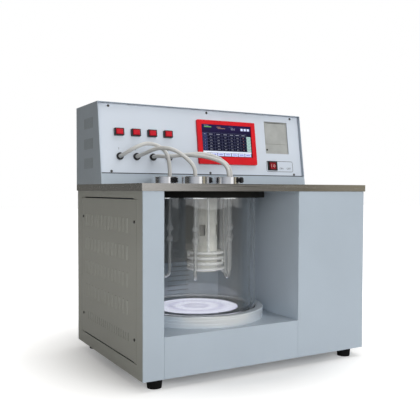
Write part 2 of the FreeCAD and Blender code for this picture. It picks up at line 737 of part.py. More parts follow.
def control_panel():
    sheet = box(-PANEL_HALF_WIDTH, PANEL_HALF_WIDTH, PANEL_BOTTOM + PANEL_GAP, PANEL_TOP,
                PANEL_BACK, PANEL_FACE)
    low = PANEL_BACK - 1
    high = PANEL_FACE + 1
    gap = 2 * FIT_GAP
    screen_width = DISPLAY_WIDTH + 2 * SCREEN_BORDER + gap
    screen_height = DISPLAY_HEIGHT + 2 * SCREEN_BORDER + gap
    cutters = [
        block(SCREEN_X, DISPLAY_UP, screen_width, screen_height, low, high),
        block(PRINTER_X, PRINTER_RISE, PRINTER_WIDTH + gap, PRINTER_HEIGHT + gap, low, high),
        block(SWITCH_X, SWITCH_RISE, SWITCH_BODY_WIDTH + gap, SWITCH_BODY_HEIGHT + gap, low, high),
    ]
    for x in STATIONS:
        cutters.append(block(x, BUTTON_RISE, BUTTON_BARREL_WIDTH + gap, BUTTON_BARREL_HEIGHT + gap,
                             low, high))
        cutters.append(rod(FITTING_STEM_RADIUS + SCREW_HOLE_GAP, low, high, x, FITTING_RISE))
    return on_panel(sheet.cut(cutters)).cut(panel_screw_holes())


def panel_screws():
    screws = []
    tip = PANEL_BACK - SCREW_LENGTH + PANEL_SHEET
    for x, up in panel_screw_points():
        shank = rod(SCREW_RADIUS, tip, PANEL_FACE, x, up)
        head = rod(SCREW_HEAD_RADIUS, PANEL_FACE, PANEL_FACE + PANEL_SCREW_HEAD, x, up)
        screws.append(on_panel(shank.fuse(head).removeSplitter()))
    return screws


def screen_bezel():
    front = PANEL_FACE + BEZEL_DEPTH
    frame = rounded_block(SCREEN_X, SCREEN_RISE, BEZEL_WIDTH, BEZEL_HEIGHT, PANEL_FACE, front, BEZEL_CORNER)
    window = block(SCREEN_X, DISPLAY_UP, DISPLAY_WIDTH, DISPLAY_HEIGHT, PANEL_FACE - 1, front + 1)
    pocket = block(SCREEN_X, DISPLAY_UP, DISPLAY_WIDTH + 2 * SCREEN_BORDER + 2 * FIT_GAP,
                   DISPLAY_HEIGHT + 2 * SCREEN_BORDER + 2 * FIT_GAP, PANEL_FACE - 1, front - BEZEL_LIP)
    return on_panel(frame.cut([window, pocket]))


def touch_screen():
    front = PANEL_FACE + BEZEL_DEPTH - BEZEL_LIP
    return on_panel(block(SCREEN_X, DISPLAY_UP, DISPLAY_WIDTH + 2 * SCREEN_BORDER,
                          DISPLAY_HEIGHT + 2 * SCREEN_BORDER, front - SCREEN_DEPTH, front))


def button_housings():
    housings = []
    front = PANEL_FACE + BUTTON_HEAD_DEPTH
    cavity = front + CAP_PROUD - CAP_DEPTH - CAP_TRAVEL - FIT_GAP
    for x in STATIONS:
        head = rounded_block(x, BUTTON_RISE, BUTTON_HEAD_WIDTH, BUTTON_HEAD_HEIGHT,
                             PANEL_FACE, front, BUTTON_CORNER)
        barrel = block(x, BUTTON_RISE, BUTTON_BARREL_WIDTH, BUTTON_BARREL_HEIGHT,
                       PANEL_FACE - BUTTON_BARREL_DEPTH, PANEL_FACE)
        hollow = block(x, BUTTON_RISE, CAP_WIDTH + 2 * CAP_GAP, CAP_HEIGHT + 2 * CAP_GAP, cavity, front + 1)
        housings.append(on_panel(head.fuse(barrel).cut(hollow)))
    return group(housings)


def button_cap(x):
    front = PANEL_FACE + BUTTON_HEAD_DEPTH + CAP_PROUD
    cap = block(x, BUTTON_RISE, CAP_WIDTH, CAP_HEIGHT, front - CAP_DEPTH, front)
    rim = [edge for edge in cap.Edges if min(vertex.Point.z for vertex in edge.Vertexes) > front - 0.01]
    return on_panel(cap.makeChamfer(CAP_BEVEL, rim))


def hose_fittings():
    fittings = []
    for x in STATIONS:
        flange = rod(FITTING_RADIUS, PANEL_FACE, PANEL_FACE + FITTING_FLANGE, x, FITTING_RISE)
        stem = rod(FITTING_STEM_RADIUS, PANEL_FACE - FITTING_STEM, PANEL_FACE, x, FITTING_RISE)
        nut = rod(FITTING_NUT_RADIUS, PANEL_BACK - FITTING_NUT, PANEL_BACK, x, FITTING_RISE)
        bore = rod(FITTING_BORE, PANEL_FACE - FITTING_STEM - 1, PANEL_FACE + FITTING_FLANGE + 1,
                   x, FITTING_RISE)
        fittings.append(on_panel(flange.fuse([stem, nut]).removeSplitter().cut(bore)))
    return group(fittings)


def printer_case():
    back = PRINTER_FACE - PRINTER_DEPTH
    case = block(PRINTER_X, PRINTER_RISE, PRINTER_WIDTH, PRINTER_HEIGHT, back, PRINTER_FACE)
    opening = box(PRINTER_X - DOOR_HALF_WIDTH, PRINTER_X + DOOR_HALF_WIDTH,
                  DOOR_LOW, PRINTER_HIGH - PRINTER_WALL, back + PRINTER_WALL, PRINTER_FACE + 1)
    feed = rod(FEED_RADIUS + FEED_GAP, PRINTER_FACE - FEED_LENGTH - 2, PRINTER_FACE + 1, *feed_place())
    pins = door_pins(DOOR_PIN_RADIUS + DOOR_PIN_GAP, DOOR_PIN_LENGTH + DOOR_GAP)
    return on_panel(case.cut([opening, feed, pins]))


def feed_place():
    x = PRINTER_X - PRINTER_WIDTH / 2 + FEED_INSET_X
    return x, PRINTER_LOW + FEED_INSET_UP


def door_pins(radius, length):
    """The hinge pins' outline: one rod along the door's top edge, past both of its sides."""
    reach = DOOR_HALF_WIDTH - DOOR_GAP + length
    depth = PRINTER_FACE - DOOR_THICKNESS / 2
    start = Vector(PRINTER_X - reach, DOOR_HINGE, depth)
    return rod_along(radius, start, start.add(Vector(2 * reach, 0, 0)))


def printer_door():
    half = DOOR_HALF_WIDTH - DOOR_GAP
    depth = PRINTER_FACE - DOOR_THICKNESS / 2
    plate = box(PRINTER_X - half, PRINTER_X + half, DOOR_LOW + DOOR_GAP, DOOR_HINGE,
                PRINTER_FACE - DOOR_THICKNESS, PRINTER_FACE)
    knuckle = rod_along(DOOR_THICKNESS / 2, Vector(PRINTER_X - half, DOOR_HINGE, depth),
                        Vector(PRINTER_X + half, DOOR_HINGE, depth))
    return on_panel(plate.fuse([knuckle, door_pins(DOOR_PIN_RADIUS, DOOR_PIN_LENGTH)]).removeSplitter())


def printer_feed_button():
    x, up = feed_place()
    front = PRINTER_FACE + FEED_PROUD
    return on_panel(rod(FEED_RADIUS, front - FEED_LENGTH, front, x, up))


def paper_roll():
    half = ROLL_WIDTH / 2
    up = DOOR_LOW + ROLL_RADIUS + FIT_GAP
    depth = PRINTER_FACE - PRINTER_DEPTH + PRINTER_WALL + ROLL_RADIUS + FIT_GAP
    start = Vector(PRINTER_X - half, up, depth)
    end = Vector(PRINTER_X + half, up, depth)
    return on_panel(rod_along(ROLL_RADIUS, start, end).cut(rod_along(ROLL_CORE_RADIUS, start, end)))


def power_switch_housing():
    front = PANEL_FACE + SWITCH_FLANGE
    flange = rounded_block(SWITCH_X, SWITCH_RISE, SWITCH_WIDTH, SWITCH_HEIGHT,
                           PANEL_FACE, front, SWITCH_CORNER)
    body = block(SWITCH_X, SWITCH_RISE, SWITCH_BODY_WIDTH, SWITCH_BODY_HEIGHT,
                 PANEL_FACE - SWITCH_BODY_DEPTH, PANEL_FACE)
    cavity_floor = ROCKER_PIVOT - ROCKER_HALF
    cavity = block(SWITCH_X, SWITCH_RISE, 2 * (ROCKER_HALF + ROCKER_WALL_GAP),
                   ROCKER_HEIGHT + 2 * ROCKER_SIDE_GAP, cavity_floor, front + 1)
    pivot = rocker_pins(ROCKER_PIN_RADIUS + ROCKER_PIN_GAP, ROCKER_PIN_LENGTH + ROCKER_SIDE_GAP)
    return on_panel(flange.fuse(body).cut([cavity, pivot]))


def rocker_pins(radius, length):
    """The rocker's pivot, a rod up the slope past both of its ends."""
    reach = ROCKER_HEIGHT / 2 + length
    return rod_along(radius, Vector(SWITCH_X, SWITCH_RISE - reach, ROCKER_PIVOT),
                     Vector(SWITCH_X, SWITCH_RISE + reach, ROCKER_PIVOT))


def power_rocker():
    half = ROCKER_HALF
    outline = [(-half, ROCKER_CROWN), (0, ROCKER_VALLEY), (half, ROCKER_CROWN),
               (0.86 * half, -ROCKER_DEPTH / 2), (0.2 * half, -ROCKER_DEPTH),
               (-0.2 * half, -ROCKER_DEPTH), (-0.86 * half, -ROCKER_DEPTH / 2)]
    low = SWITCH_RISE - ROCKER_HEIGHT / 2
    points = [Vector(SWITCH_X + x, low, ROCKER_PIVOT + z) for x, z in outline]
    body = Part.Face(Part.makePolygon(points + points[:1])).extrude(Vector(0, ROCKER_HEIGHT, 0))
    rocker = body.fuse(rocker_pins(ROCKER_PIN_RADIUS, ROCKER_PIN_LENGTH)).removeSplitter()
    rocker.rotate(Vector(SWITCH_X, SWITCH_RISE, ROCKER_PIVOT), Vector(0, 1, 0), ROCKER_TILT)
    return on_panel(rocker)


def power_inlet():
    rear = TOP_HALF_DEPTH
    inner = rear - SHEET
    z = WORKTOP + INLET_RISE

    def slab(width, height, y0, y1, x=INLET_X, up=z):
        return box(x - width / 2, x + width / 2, y0, y1, up - height / 2, up + height / 2)

    body = slab(INLET_WIDTH, INLET_HEIGHT, rear - INLET_DEPTH, rear)
    flange = slab(INLET_FLANGE_WIDTH, INLET_FLANGE_HEIGHT, inner - INLET_FLANGE, inner)
    socket = slab(INLET_WIDTH - 2 * INLET_WALL, INLET_HEIGHT - 2 * INLET_WALL, rear - INLET_CAVITY, rear + 1)
    blades = []
    for column, up in ((-1, -INLET_BLADE_DROP), (0, INLET_BLADE_DROP), (1, -INLET_BLADE_DROP)):
        x = INLET_X + column * INLET_BLADE_SPACING
        blades.append(slab(INLET_BLADE_WIDTH, INLET_BLADE_HEIGHT,
                           rear - INLET_CAVITY, rear - INLET_WALL, x, z + up))
    return body.fuse(flange).cut(socket).fuse(blades).removeSplitter()


# Bath

def jar_base_flange():
    base = rod(BASE_RADIUS, BAY_FLOOR, BAY_FLOOR + BASE_HEIGHT)
    rim = [edge for edge in base.Edges if edge.BoundBox.ZMin > BAY_FLOOR + BASE_HEIGHT - 0.01]
    base = base.makeChamfer(BASE_CHAMFER, rim)
    recess = rod(SLEEVE_RADIUS + RECESS_GAP, BASE_FLOOR, BAY_FLOOR + BASE_HEIGHT + 1)
    return at_jar(base.cut(recess))


def light_disc():
    return at_jar(rod(LIGHT_RADIUS, BASE_FLOOR, BASE_FLOOR + LIGHT_HEIGHT))


def jar_seal():
    outer = SLEEVE_RADIUS + RECESS_GAP - FIT_GAP
    return at_jar(tube(outer, LIGHT_RADIUS + FIT_GAP, BASE_FLOOR, BASE_FLOOR + LIGHT_HEIGHT))


def outer_glass_sleeve():
    return at_jar(tube(SLEEVE_RADIUS, SLEEVE_RADIUS - SLEEVE_WALL, GLASS_FOOT, GLASS_TOP))


def inner_glass_jar():
    outside = rod(JAR_RADIUS, GLASS_FOOT, GLASS_TOP)
    inside = rod(JAR_RADIUS - JAR_WALL, GLASS_FOOT + JAR_BOTTOM, GLASS_TOP + 1)
    return at_jar(outside.cut(inside))


def jar_top_ring():
    ring = tube(TOP_RING_RADIUS, TOP_RING_BORE, RING_FOOT, SHEET_TOP)
    cutters = []
    for radius, wall in ((SLEEVE_RADIUS, SLEEVE_WALL), (JAR_RADIUS, JAR_WALL)):
        cutters.append(tube(radius + GLASS_GAP, radius - wall - GLASS_GAP,
                            RING_FOOT - 1, RING_FOOT + TOP_RING_GROOVE))
    return at_jar(ring.cut(cutters))


def holder_rings():
    rings = []
    for place, angle in zip(holder_places(), THUMB_ANGLES):
        band = rod(HOLDER_RADIUS, WORKTOP, HOLDER_TOP)
        rim = [edge for edge in band.Edges if edge.BoundBox.ZMin > HOLDER_TOP - 0.01]
        band = band.makeChamfer(HOLDER_CHAMFER, rim)
        sleeve = rod(HOLDER_SLEEVE_RADIUS, WORKTOP - HOLDER_SLEEVE_DROP, WORKTOP)
        bore = rod(HOLDER_BORE, WORKTOP - HOLDER_SLEEVE_DROP - 1, HOLDER_TOP + 1)
        seat = rod(PLUG_RADIUS + PLUG_GAP, PLUG_FOOT, HOLDER_TOP + 1)
        thread = rod_along(THUMB_SHAFT_RADIUS + THUMB_SHAFT_GAP, Vector(0, 0, WORKTOP + THUMB_RISE),
                           Vector(HOLDER_RADIUS + 1, 0, WORKTOP + THUMB_RISE))
        thread.rotate(Vector(0, 0, 0), Vector(0, 0, 1), angle)
        ring = band.fuse(sleeve).removeSplitter().cut([bore, seat, thread])
        ring.translate(place)
        rings.append(ring)
    return group(rings)


def thumbscrew(index):
    height = WORKTOP + THUMB_RISE
    tip = PLUG_RADIUS + PLUG_GAP
    neck = HOLDER_RADIUS + FIT_GAP
    knob = neck + THUMB_NECK
    end = knob + THUMB_KNOB
    shaft = rod_along(THUMB_SHAFT_RADIUS, Vector(tip, 0, height), Vector(end, 0, height))
    collar = rod_along(THUMB_NECK_RADIUS, Vector(neck, 0, height), Vector(end, 0, height))
    head = rod_along(THUMB_KNOB_RADIUS, Vector(knob, 0, height), Vector(end, 0, height))
    flutes = []
    for step in range(THUMB_FLUTES):
        angle = 2 * math.pi * step / THUMB_FLUTES
        y = THUMB_KNOB_RADIUS * math.cos(angle)
        z = height + THUMB_KNOB_RADIUS * math.sin(angle)
        flutes.append(rod_along(THUMB_FLUTE_RADIUS, Vector(knob - 1, y, z), Vector(end + 1, y, z)))
    screw = head.cut(flutes).fuse([collar, shaft]).removeSplitter()
    screw.rotate(Vector(0, 0, 0), Vector(0, 0, 1), THUMB_ANGLES[index])
    screw.translate(holder_places()[index])
    return screw


def arm_places(index):
    """The wide arm's and the hose arm's places in one holder."""
    angle = math.radians(ARM_ANGLES[index])
    reach = Vector(ARM_OFFSET * math.cos(angle), ARM_OFFSET * math.sin(angle), 0)
    middle = holder_places()[index]
    return middle.sub(reach), middle.add(reach)


def viscometer_plugs():
    plugs = []
    for index, place in enumerate(holder_places()):
        plug = rod(PLUG_RADIUS, PLUG_FOOT, PLUG_FOOT + PLUG_HEIGHT, place.x, place.y)
        wide, narrow = arm_places(index)
        plug = plug.cut([
            rod(WIDE_ARM_RADIUS + ARM_HOLE_GAP, PLUG_FOOT - 1, HOLDER_TOP, wide.x, wide.y),
            rod(ARM_RADIUS + ARM_HOLE_GAP, PLUG_FOOT - 1, HOLDER_TOP, narrow.x, narrow.y),
        ])
        plugs.append(plug)
    return group(plugs)


def u_form(shrink, top):
    """The viscometer's outer form, or its bore when shrunk by the wall."""
    radius = ARM_RADIUS - shrink
    wide_radius = WIDE_ARM_RADIUS - shrink
    left = Vector(-ARM_OFFSET, 0, top)
    left_foot = Vector(-ARM_OFFSET, 0, BEND_CENTRE)
    right_foot = Vector(ARM_OFFSET, 0, BEND_CENTRE)
    right = Vector(ARM_OFFSET, 0, top)
    bend = Part.Arc(left_foot, Vector(0, 0, BEND_CENTRE - ARM_OFFSET), right_foot)
    path = Part.Wire([Part.LineSegment(left, left_foot).toShape(), bend.toShape(),
                      Part.LineSegment(right_foot, right).toShape()])
    profile = Part.Wire(Part.Circle(left, Vector(0, 0, -1), radius).toShape())
    form = path.makePipeShell([profile], True, False)
    start = BEND_CENTRE + WIDE_ARM_START
    cone = Part.makeCone(radius, wide_radius, WIDE_ARM_CONE, Vector(-ARM_OFFSET, 0, start - WIDE_ARM_CONE))
    wide = rod(wide_radius, start, top, -ARM_OFFSET)
    pieces = [cone, wide]
    for rise in BULB_HEIGHTS:
        pieces.append(Part.makeSphere(BULB_RADIUS - shrink, Vector(ARM_OFFSET, 0, BEND_CENTRE + rise)))
    return form.fuse(pieces)


def viscometer(index):
    glass = u_form(0, ARM_TOP).cut(u_form(ARM_WALL, ARM_TOP + 1))
    glass.rotate(Vector(0, 0, 0), Vector(0, 0, 1), ARM_ANGLES[index])
    glass.translate(holder_places()[index])
    return glass


def guide_tube():
    guide = tube(GUIDE_RADIUS, GUIDE_RADIUS - GUIDE_WALL, GUIDE_FOOT, SHEET_TOP)
    top = SHEET_TOP - GUIDE_WINDOW_DROP
    windows = []
    for index in range(GUIDE_WINDOW_COUNT):
        window = box(0, GUIDE_RADIUS + 1, -GUIDE_WINDOW_WIDTH / 2, GUIDE_WINDOW_WIDTH / 2,
                     top - GUIDE_WINDOW_HEIGHT, top)
        window.rotate(Vector(0, 0, 0), Vector(0, 0, 1), 360 * (index + 0.5) / GUIDE_WINDOW_COUNT)
        windows.append(window)
    return at_stirrer(guide.cut(windows))


def stirrer_motor():
    case = rod(MOTOR_RADIUS, MOTOR_FOOT, SHEET_TOP)
    boss = rod(MOTOR_BOSS_RADIUS, MOTOR_FOOT - MOTOR_BOSS, MOTOR_FOOT)
    bore = rod(SHAFT_RADIUS + SHAFT_GAP, MOTOR_FOOT - MOTOR_BOSS - 1, MOTOR_FOOT + SHAFT_ENTRY)
    return at_stirrer(case.fuse(boss).removeSplitter().cut(bore))


def stirrer_shaft():
    top = MOTOR_FOOT + SHAFT_ENTRY - FIT_GAP
    return at_stirrer(rod(SHAFT_RADIUS, top - SHAFT_LENGTH, top))


def stirrer_propeller():
    foot = MOTOR_FOOT + SHAFT_ENTRY - FIT_GAP - SHAFT_LENGTH
    middle = foot + HUB_HEIGHT / 2
    hub = rod(HUB_RADIUS, foot, foot + HUB_HEIGHT)
    blades = []
    for index in range(BLADE_COUNT):
        blade = box(SHAFT_RADIUS + 1, BLADE_REACH, -BLADE_WIDTH / 2, BLADE_WIDTH / 2,
                    middle - BLADE_THICKNESS / 2, middle + BLADE_THICKNESS / 2)
        blade.rotate(Vector(0, 0, middle), Vector(1, 0, 0), BLADE_PITCH)
        blade.rotate(Vector(0, 0, 0), Vector(0, 0, 1), 360 * index / BLADE_COUNT)
        blades.append(blade)
    bore = rod(SHAFT_RADIUS, foot - 1, foot + HUB_HEIGHT + 1)
    return at_stirrer(hub.fuse(blades).removeSplitter().cut(bore))


def heater_coil():
    """Flat loops one above the other, joined by short links, with two legs that rise to the worktop."""
    base = BAY_FLOOR + COIL_BASE
    top = base + (COIL_LOOPS - 1) * COIL_PITCH
    pieces = []
    for index in range(COIL_LOOPS):
        level = base + index * COIL_PITCH
        pieces.append(Part.makeTorus(COIL_RADIUS, COIL_TUBE_RADIUS, Vector(0, 0, level)))
        if index > 0:
            side = COIL_RADIUS if index % 2 else -COIL_RADIUS
            pieces.append(rod(COIL_LINK_RADIUS, level - COIL_PITCH, level, 0, side))
    pieces.append(rod(COIL_LEG_RADIUS, base, SHEET_TOP, COIL_RADIUS, 0))
    pieces.append(rod(COIL_LEG_RADIUS, top, SHEET_TOP, -COIL_RADIUS, 0))
    heater = pieces[0].fuse(pieces[1:])
    heater.rotate(Vector(0, 0, 0), Vector(0, 0, 1), COIL_START_ANGLE)
    return at_stirrer(heater)


def temperature_probe():
    stem = rod(PROBE_RADIUS, SHEET_TOP - PROBE_LENGTH, SHEET_TOP, PROBE_X, PROBE_Y)
    tip = Part.makeSphere(PROBE_RADIUS, Vector(PROBE_X, PROBE_Y, SHEET_TOP - PROBE_LENGTH))
    head = rod(PROBE_HEAD_RADIUS, SHEET_TOP - PROBE_HEAD, SHEET_TOP, PROBE_X, PROBE_Y)
    return at_jar(stem.fuse([tip, head]).removeSplitter())


# Hoses: each leaves its fitting square to the panel, arches over and drops on to its viscometer's hose arm

def hose_start(index):
    """The middle of a fitting's face and the way out of it."""
    face = PANEL_FACE + FITTING_FLANGE
    y = CONSOLE_FRONT + FITTING_RISE * math.sin(TILT) - face * math.cos(TILT)
    z = WORKTOP + FITTING_RISE * math.cos(TILT) + face * math.sin(TILT)
    return Vector(STATIONS[index], y, z), Vector(0, -math.cos(TILT), math.sin(TILT))


# Middle points of the hoses' routes, from the jar's axis and up from the worktop
HOSE_ROUTES = (
    ((-164, 32, 79), (-149, 23, 89), (-123, 22, 99), (-98, 13, 93), (-83, 5, 80), (-75, 1, 60)),
    ((-126, 24, 74), (-120, -1, 81), (-109, -25, 85), (-95, -44, 83), (-80, -60, 74),
     (-66, -72, 60), (-54, -80, 46)),
    ((-76, 32, 68), (-58, 11, 69), (-37, -12, 71), (-17, -34, 69), (1, -52, 65), (17, -65, 59),
     (28, -75, 53), (36, -82, 43)),
    ((-33, 34, 73), (-15, 21, 74), (9, 12, 77), (36, 7, 76), (61, 4, 69), (79, 2, 58),
     (90, -3, 47)),
)
HOSE_LEAD = 18.0
HOSE_DROP = 14.0


def hose_points(index):
    start, way = hose_start(index)
    _, arm = arm_places(index)
    end = Vector(arm.x, arm.y, ARM_TOP)
    lead = start.add(way.multiply(HOSE_LEAD))
    above = end.add(Vector(0, 0, HOSE_DROP))
    foot = Vector(JAR_X, JAR_Y, WORKTOP)
    middle = [foot.add(Vector(*point)) for point in HOSE_ROUTES[index]]
    return [start, lead] + middle + [above, end]


def arc_wire(points, name):
    """Straight runs joined by arcs that touch them, as large as the runs allow."""
    edges = []
    last = points[0]
    radii = []
    for before, corner, after in zip(points, points[1:], points[2:]):
        arriving = corner.sub(before)
        leaving = after.sub(corner)
        cut = 0.45 * min(arriving.Length, leaving.Length)
        turn = arriving.getAngle(leaving)
        radii.append(cut / math.tan(turn / 2))
        arriving.normalize()
        leaving.normalize()
        enter = corner.sub(arriving * cut)
        leave = corner.add(leaving * cut)
        inward = leaving.sub(arriving)
        inward.normalize()
        bulge = radii[-1] * (1 / math.cos(turn / 2) - 1)
        edges.append(Part.LineSegment(last, enter).toShape())
        edges.append(Part.Arc(enter, corner.add(inward * bulge), leave).toShape())
        last = leave
    edges.append(Part.LineSegment(last, points[-1]).toShape())
    wire = Part.Wire(edges)
    print(name, "length %.0f" % wire.Length, "radii", ["%.0f" % radius for radius in radii])
    return wire


def hose(index):
    points = hose_points(index)
    wire = arc_wire(points, "hose_%d" % (index + 1))
    way = points[1].sub(points[0])
    profile = Part.Wire(Part.Circle(points[0], way, HOSE_RADIUS).toShape())
    solid = wire.makePipeShell([profile], True, False)
    wanted = math.pi * HOSE_RADIUS ** 2 * wire.Length
    print("  volume ratio %.4f" % (solid.Volume / wanted))
    return solid


# Inside the cabinet and the console

def vacuum_pump():
    case = block(PUMP_X, PUMP_Y, PUMP_WIDTH, PUMP_DEPTH, WORKTOP, WORKTOP + PUMP_HEIGHT)
    height = WORKTOP + PUMP_HEIGHT / 2
    start = Vector(PUMP_X + PUMP_WIDTH / 2, PUMP_Y, height)
    motor = rod_along(PUMP_MOTOR_RADIUS, start, start.add(Vector(PUMP_MOTOR_LENGTH, 0, 0)))
    return case.fuse(motor)


def power_supply():
    floor = BODY_BASE + SHEET
    return block(SUPPLY_X, SUPPLY_Y, SUPPLY_WIDTH, SUPPLY_DEPTH, floor, floor + SUPPLY_HEIGHT)


def control_board():
    low = WORKTOP + BOARD_POST
    board = block(BOARD_X, BOARD_Y, BOARD_WIDTH, BOARD_DEPTH, low, low + BOARD_SHEET)
    pieces = []
    for x in (-1, 1):
        for y in (-1, 1):
            post_x = BOARD_X + x * (BOARD_WIDTH / 2 - 2 * BOARD_POST_RADIUS)
            post_y = BOARD_Y + y * (BOARD_DEPTH / 2 - 2 * BOARD_POST_RADIUS)
            pieces.append(rod(BOARD_POST_RADIUS, WORKTOP, low, post_x, post_y))
        top = low + BOARD_SHEET
        chip_x = BOARD_X + x * BOARD_CHIP
        pieces.append(block(chip_x, BOARD_Y, BOARD_CHIP, BOARD_CHIP, top, top + BOARD_CHIP_HEIGHT))
    return board.fuse(pieces).removeSplitter()


def build():
    nodes = {
        "rubber_feet": rubber_feet(),
        "base_pan": base_pan(),
        "front_left_pillar": front_left_pillar(),
        "front_sill": front_sill(),
        "right_front_panel": right_front_panel(),
        "left_side_frame": left_side_frame(),
        "left_louvre_panel": left_louvre_panel(),
        "right_side_panel": right_side_panel(),
        "rear_panel": rear_panel(),
        "bay_floor": bay_floor(),
        "bay_liner": bay_liner(),
        "worktop": worktop(),
        "console_shell": console_shell(),
        "console_rear_panel": console_rear_panel(),
        "control_panel": control_panel(),
        "screws": group(side_screws() + panel_screws()),
        "screen_bezel": screen_bezel(),
        "touch_screen": touch_screen(),
        "button_housings": button_housings(),
        "hose_fittings": hose_fittings(),
        "printer_case": printer_case(),
        "printer_door": printer_door(),
        "printer_feed_button": printer_feed_button(),
        "paper_roll": paper_roll(),
        "power_switch_housing": power_switch_housing(),
        "power_rocker": power_rocker(),
        "power_inlet": power_inlet(),
        "jar_base_flange": jar_base_flange(),
        "light_disc": light_disc(),
        "jar_seal": jar_seal(),
        "outer_glass_sleeve": outer_glass_sleeve(),
        "inner_glass_jar": inner_glass_jar(),
        "jar_top_ring": jar_top_ring(),
        "holder_rings": holder_rings(),
        "viscometer_plugs": viscometer_plugs(),
        "guide_tube": guide_tube(),
        "stirrer_motor": stirrer_motor(),
        "stirrer_shaft": stirrer_shaft(),
        "stirrer_propeller": stirrer_propeller(),
        "heater_coil": heater_coil(),
        "temperature_probe": temperature_probe(),
        "vacuum_pump": vacuum_pump(),
        "power_supply": power_supply(),
        "control_board": control_board(),
    }
    for index, x in enumerate(STATIONS):
        nodes["button_cap_%d" % (index + 1)] = button_cap(x)
    for index in range(HOLDER_COUNT):
        nodes["thumbscrew_%d" % (index + 1)] = thumbscrew(index)
        nodes["viscometer_%d" % (index + 1)] = viscometer(index)
        nodes["hose_%d" % (index + 1)] = hose(index)
    return nodes


os.makedirs("parts", exist_ok=True)
for name, shape in build().items():
    shape.exportStep("parts/%s.step" % name)
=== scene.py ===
import math

import bmesh
import bpy
from mathutils import Matrix, Vector


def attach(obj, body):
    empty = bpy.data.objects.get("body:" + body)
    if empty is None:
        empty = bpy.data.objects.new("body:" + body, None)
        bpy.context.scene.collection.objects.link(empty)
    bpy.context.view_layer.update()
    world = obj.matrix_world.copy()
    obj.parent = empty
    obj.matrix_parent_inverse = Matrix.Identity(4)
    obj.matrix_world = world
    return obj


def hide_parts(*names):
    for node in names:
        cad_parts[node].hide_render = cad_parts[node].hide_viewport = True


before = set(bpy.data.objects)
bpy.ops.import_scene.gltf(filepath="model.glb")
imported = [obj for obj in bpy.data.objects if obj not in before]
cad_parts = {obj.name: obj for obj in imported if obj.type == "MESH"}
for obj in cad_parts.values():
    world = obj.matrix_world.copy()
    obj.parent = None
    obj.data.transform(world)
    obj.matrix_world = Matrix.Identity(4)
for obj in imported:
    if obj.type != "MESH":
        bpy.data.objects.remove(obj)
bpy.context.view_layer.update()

# The cabinet's foot and worktop, and the bay's rear wall with the seam across it
BODY_FOOT = 0.020
WORKTOP = 0.430
BAY_REAR = 0.1490
BAY_REAR_START = 0.1485
BAY_SEAM = 0.219
BAY_SEAM_REACH = 0.005

# The console's sloping front: heights run up the slope from the worktop, depths out of it
TILT = math.radians(8.17)
CONSOLE_FOOT = Vector((0.0, 0.0240, WORKTOP))
PANEL = Matrix.Translation(CONSOLE_FOOT) @ Matrix.Rotation(math.pi / 2 - TILT, 4, "X")
PANEL_FACE = -0.0085
FILM = 0.00012

# Touch screen: its middle and size on the slope, its face, and the heights between which its tint changes
DISPLAY_X = 0.0563
DISPLAY_Y = 0.1190
DISPLAY_WIDTH = 0.154
DISPLAY_HEIGHT = 0.086
DISPLAY_FACE = -0.0050
DISPLAY_FOOT = 0.505
DISPLAY_HEAD = 0.590

# The bath's upright axis and its lit disc
JAR_X = -0.077
JAR_Y = -0.030
LIGHT_RADIUS = 0.102

# Camera, fitted to the corners of the cabinet and the console in the photograph
CAMERA_PLACE = Vector((-0.7920, -1.3539, 0.4149))
CAMERA_YAW = math.radians(29.63)
CAMERA_PITCH = math.radians(1.81)
CAMERA_ROLL = math.radians(0.17)
CAMERA_LENS = 52.34

# Hoses, each from its fitting on the console to its viscometer plug, by the same points as the part's own routes
HOSE_RADIUS = 0.0047
HOSE_ROUTES = (
    ((-0.2493, 0.03935, 0.49821), (-0.2493, 0.0215, 0.5008), (-0.241, 0.002, 0.509), (-0.226, -0.007, 0.519),
     (-0.200, -0.008, 0.529), (-0.175, -0.017, 0.523), (-0.160, -0.025, 0.510), (-0.152, -0.029, 0.490),
     (-0.150, -0.030, 0.460), (-0.150, -0.030, 0.446)),
    ((-0.2055, 0.03935, 0.49821), (-0.2055, 0.0215, 0.5008), (-0.203, -0.006, 0.504), (-0.197, -0.031, 0.511),
     (-0.186, -0.055, 0.515), (-0.172, -0.074, 0.513), (-0.157, -0.090, 0.504), (-0.143, -0.102, 0.490),
     (-0.131, -0.110, 0.476), (-0.1255, -0.1140, 0.460), (-0.1255, -0.1140, 0.446)),
    ((-0.1617, 0.03935, 0.49821), (-0.1617, 0.0215, 0.5008), (-0.153, 0.002, 0.498), (-0.135, -0.019, 0.499),
     (-0.114, -0.042, 0.501), (-0.094, -0.064, 0.499), (-0.076, -0.082, 0.495), (-0.060, -0.095, 0.489),
     (-0.049, -0.105, 0.483), (-0.041, -0.112, 0.473), (-0.0366, -0.1154, 0.460), (-0.0366, -0.1154, 0.446)),
    ((-0.1179, 0.03935, 0.49821), (-0.1179, 0.0215, 0.5008), (-0.110, 0.004, 0.503), (-0.092, -0.009, 0.504),
     (-0.068, -0.018, 0.507), (-0.041, -0.023, 0.506), (-0.016, -0.026, 0.499), (0.002, -0.028, 0.488),
     (0.013, -0.033, 0.477), (0.0184, -0.0360, 0.460), (0.0184, -0.0360, 0.446)),
)


def link(name, data):
    made = bpy.data.objects.new(name, data)
    bpy.context.scene.collection.objects.link(made)
    return made


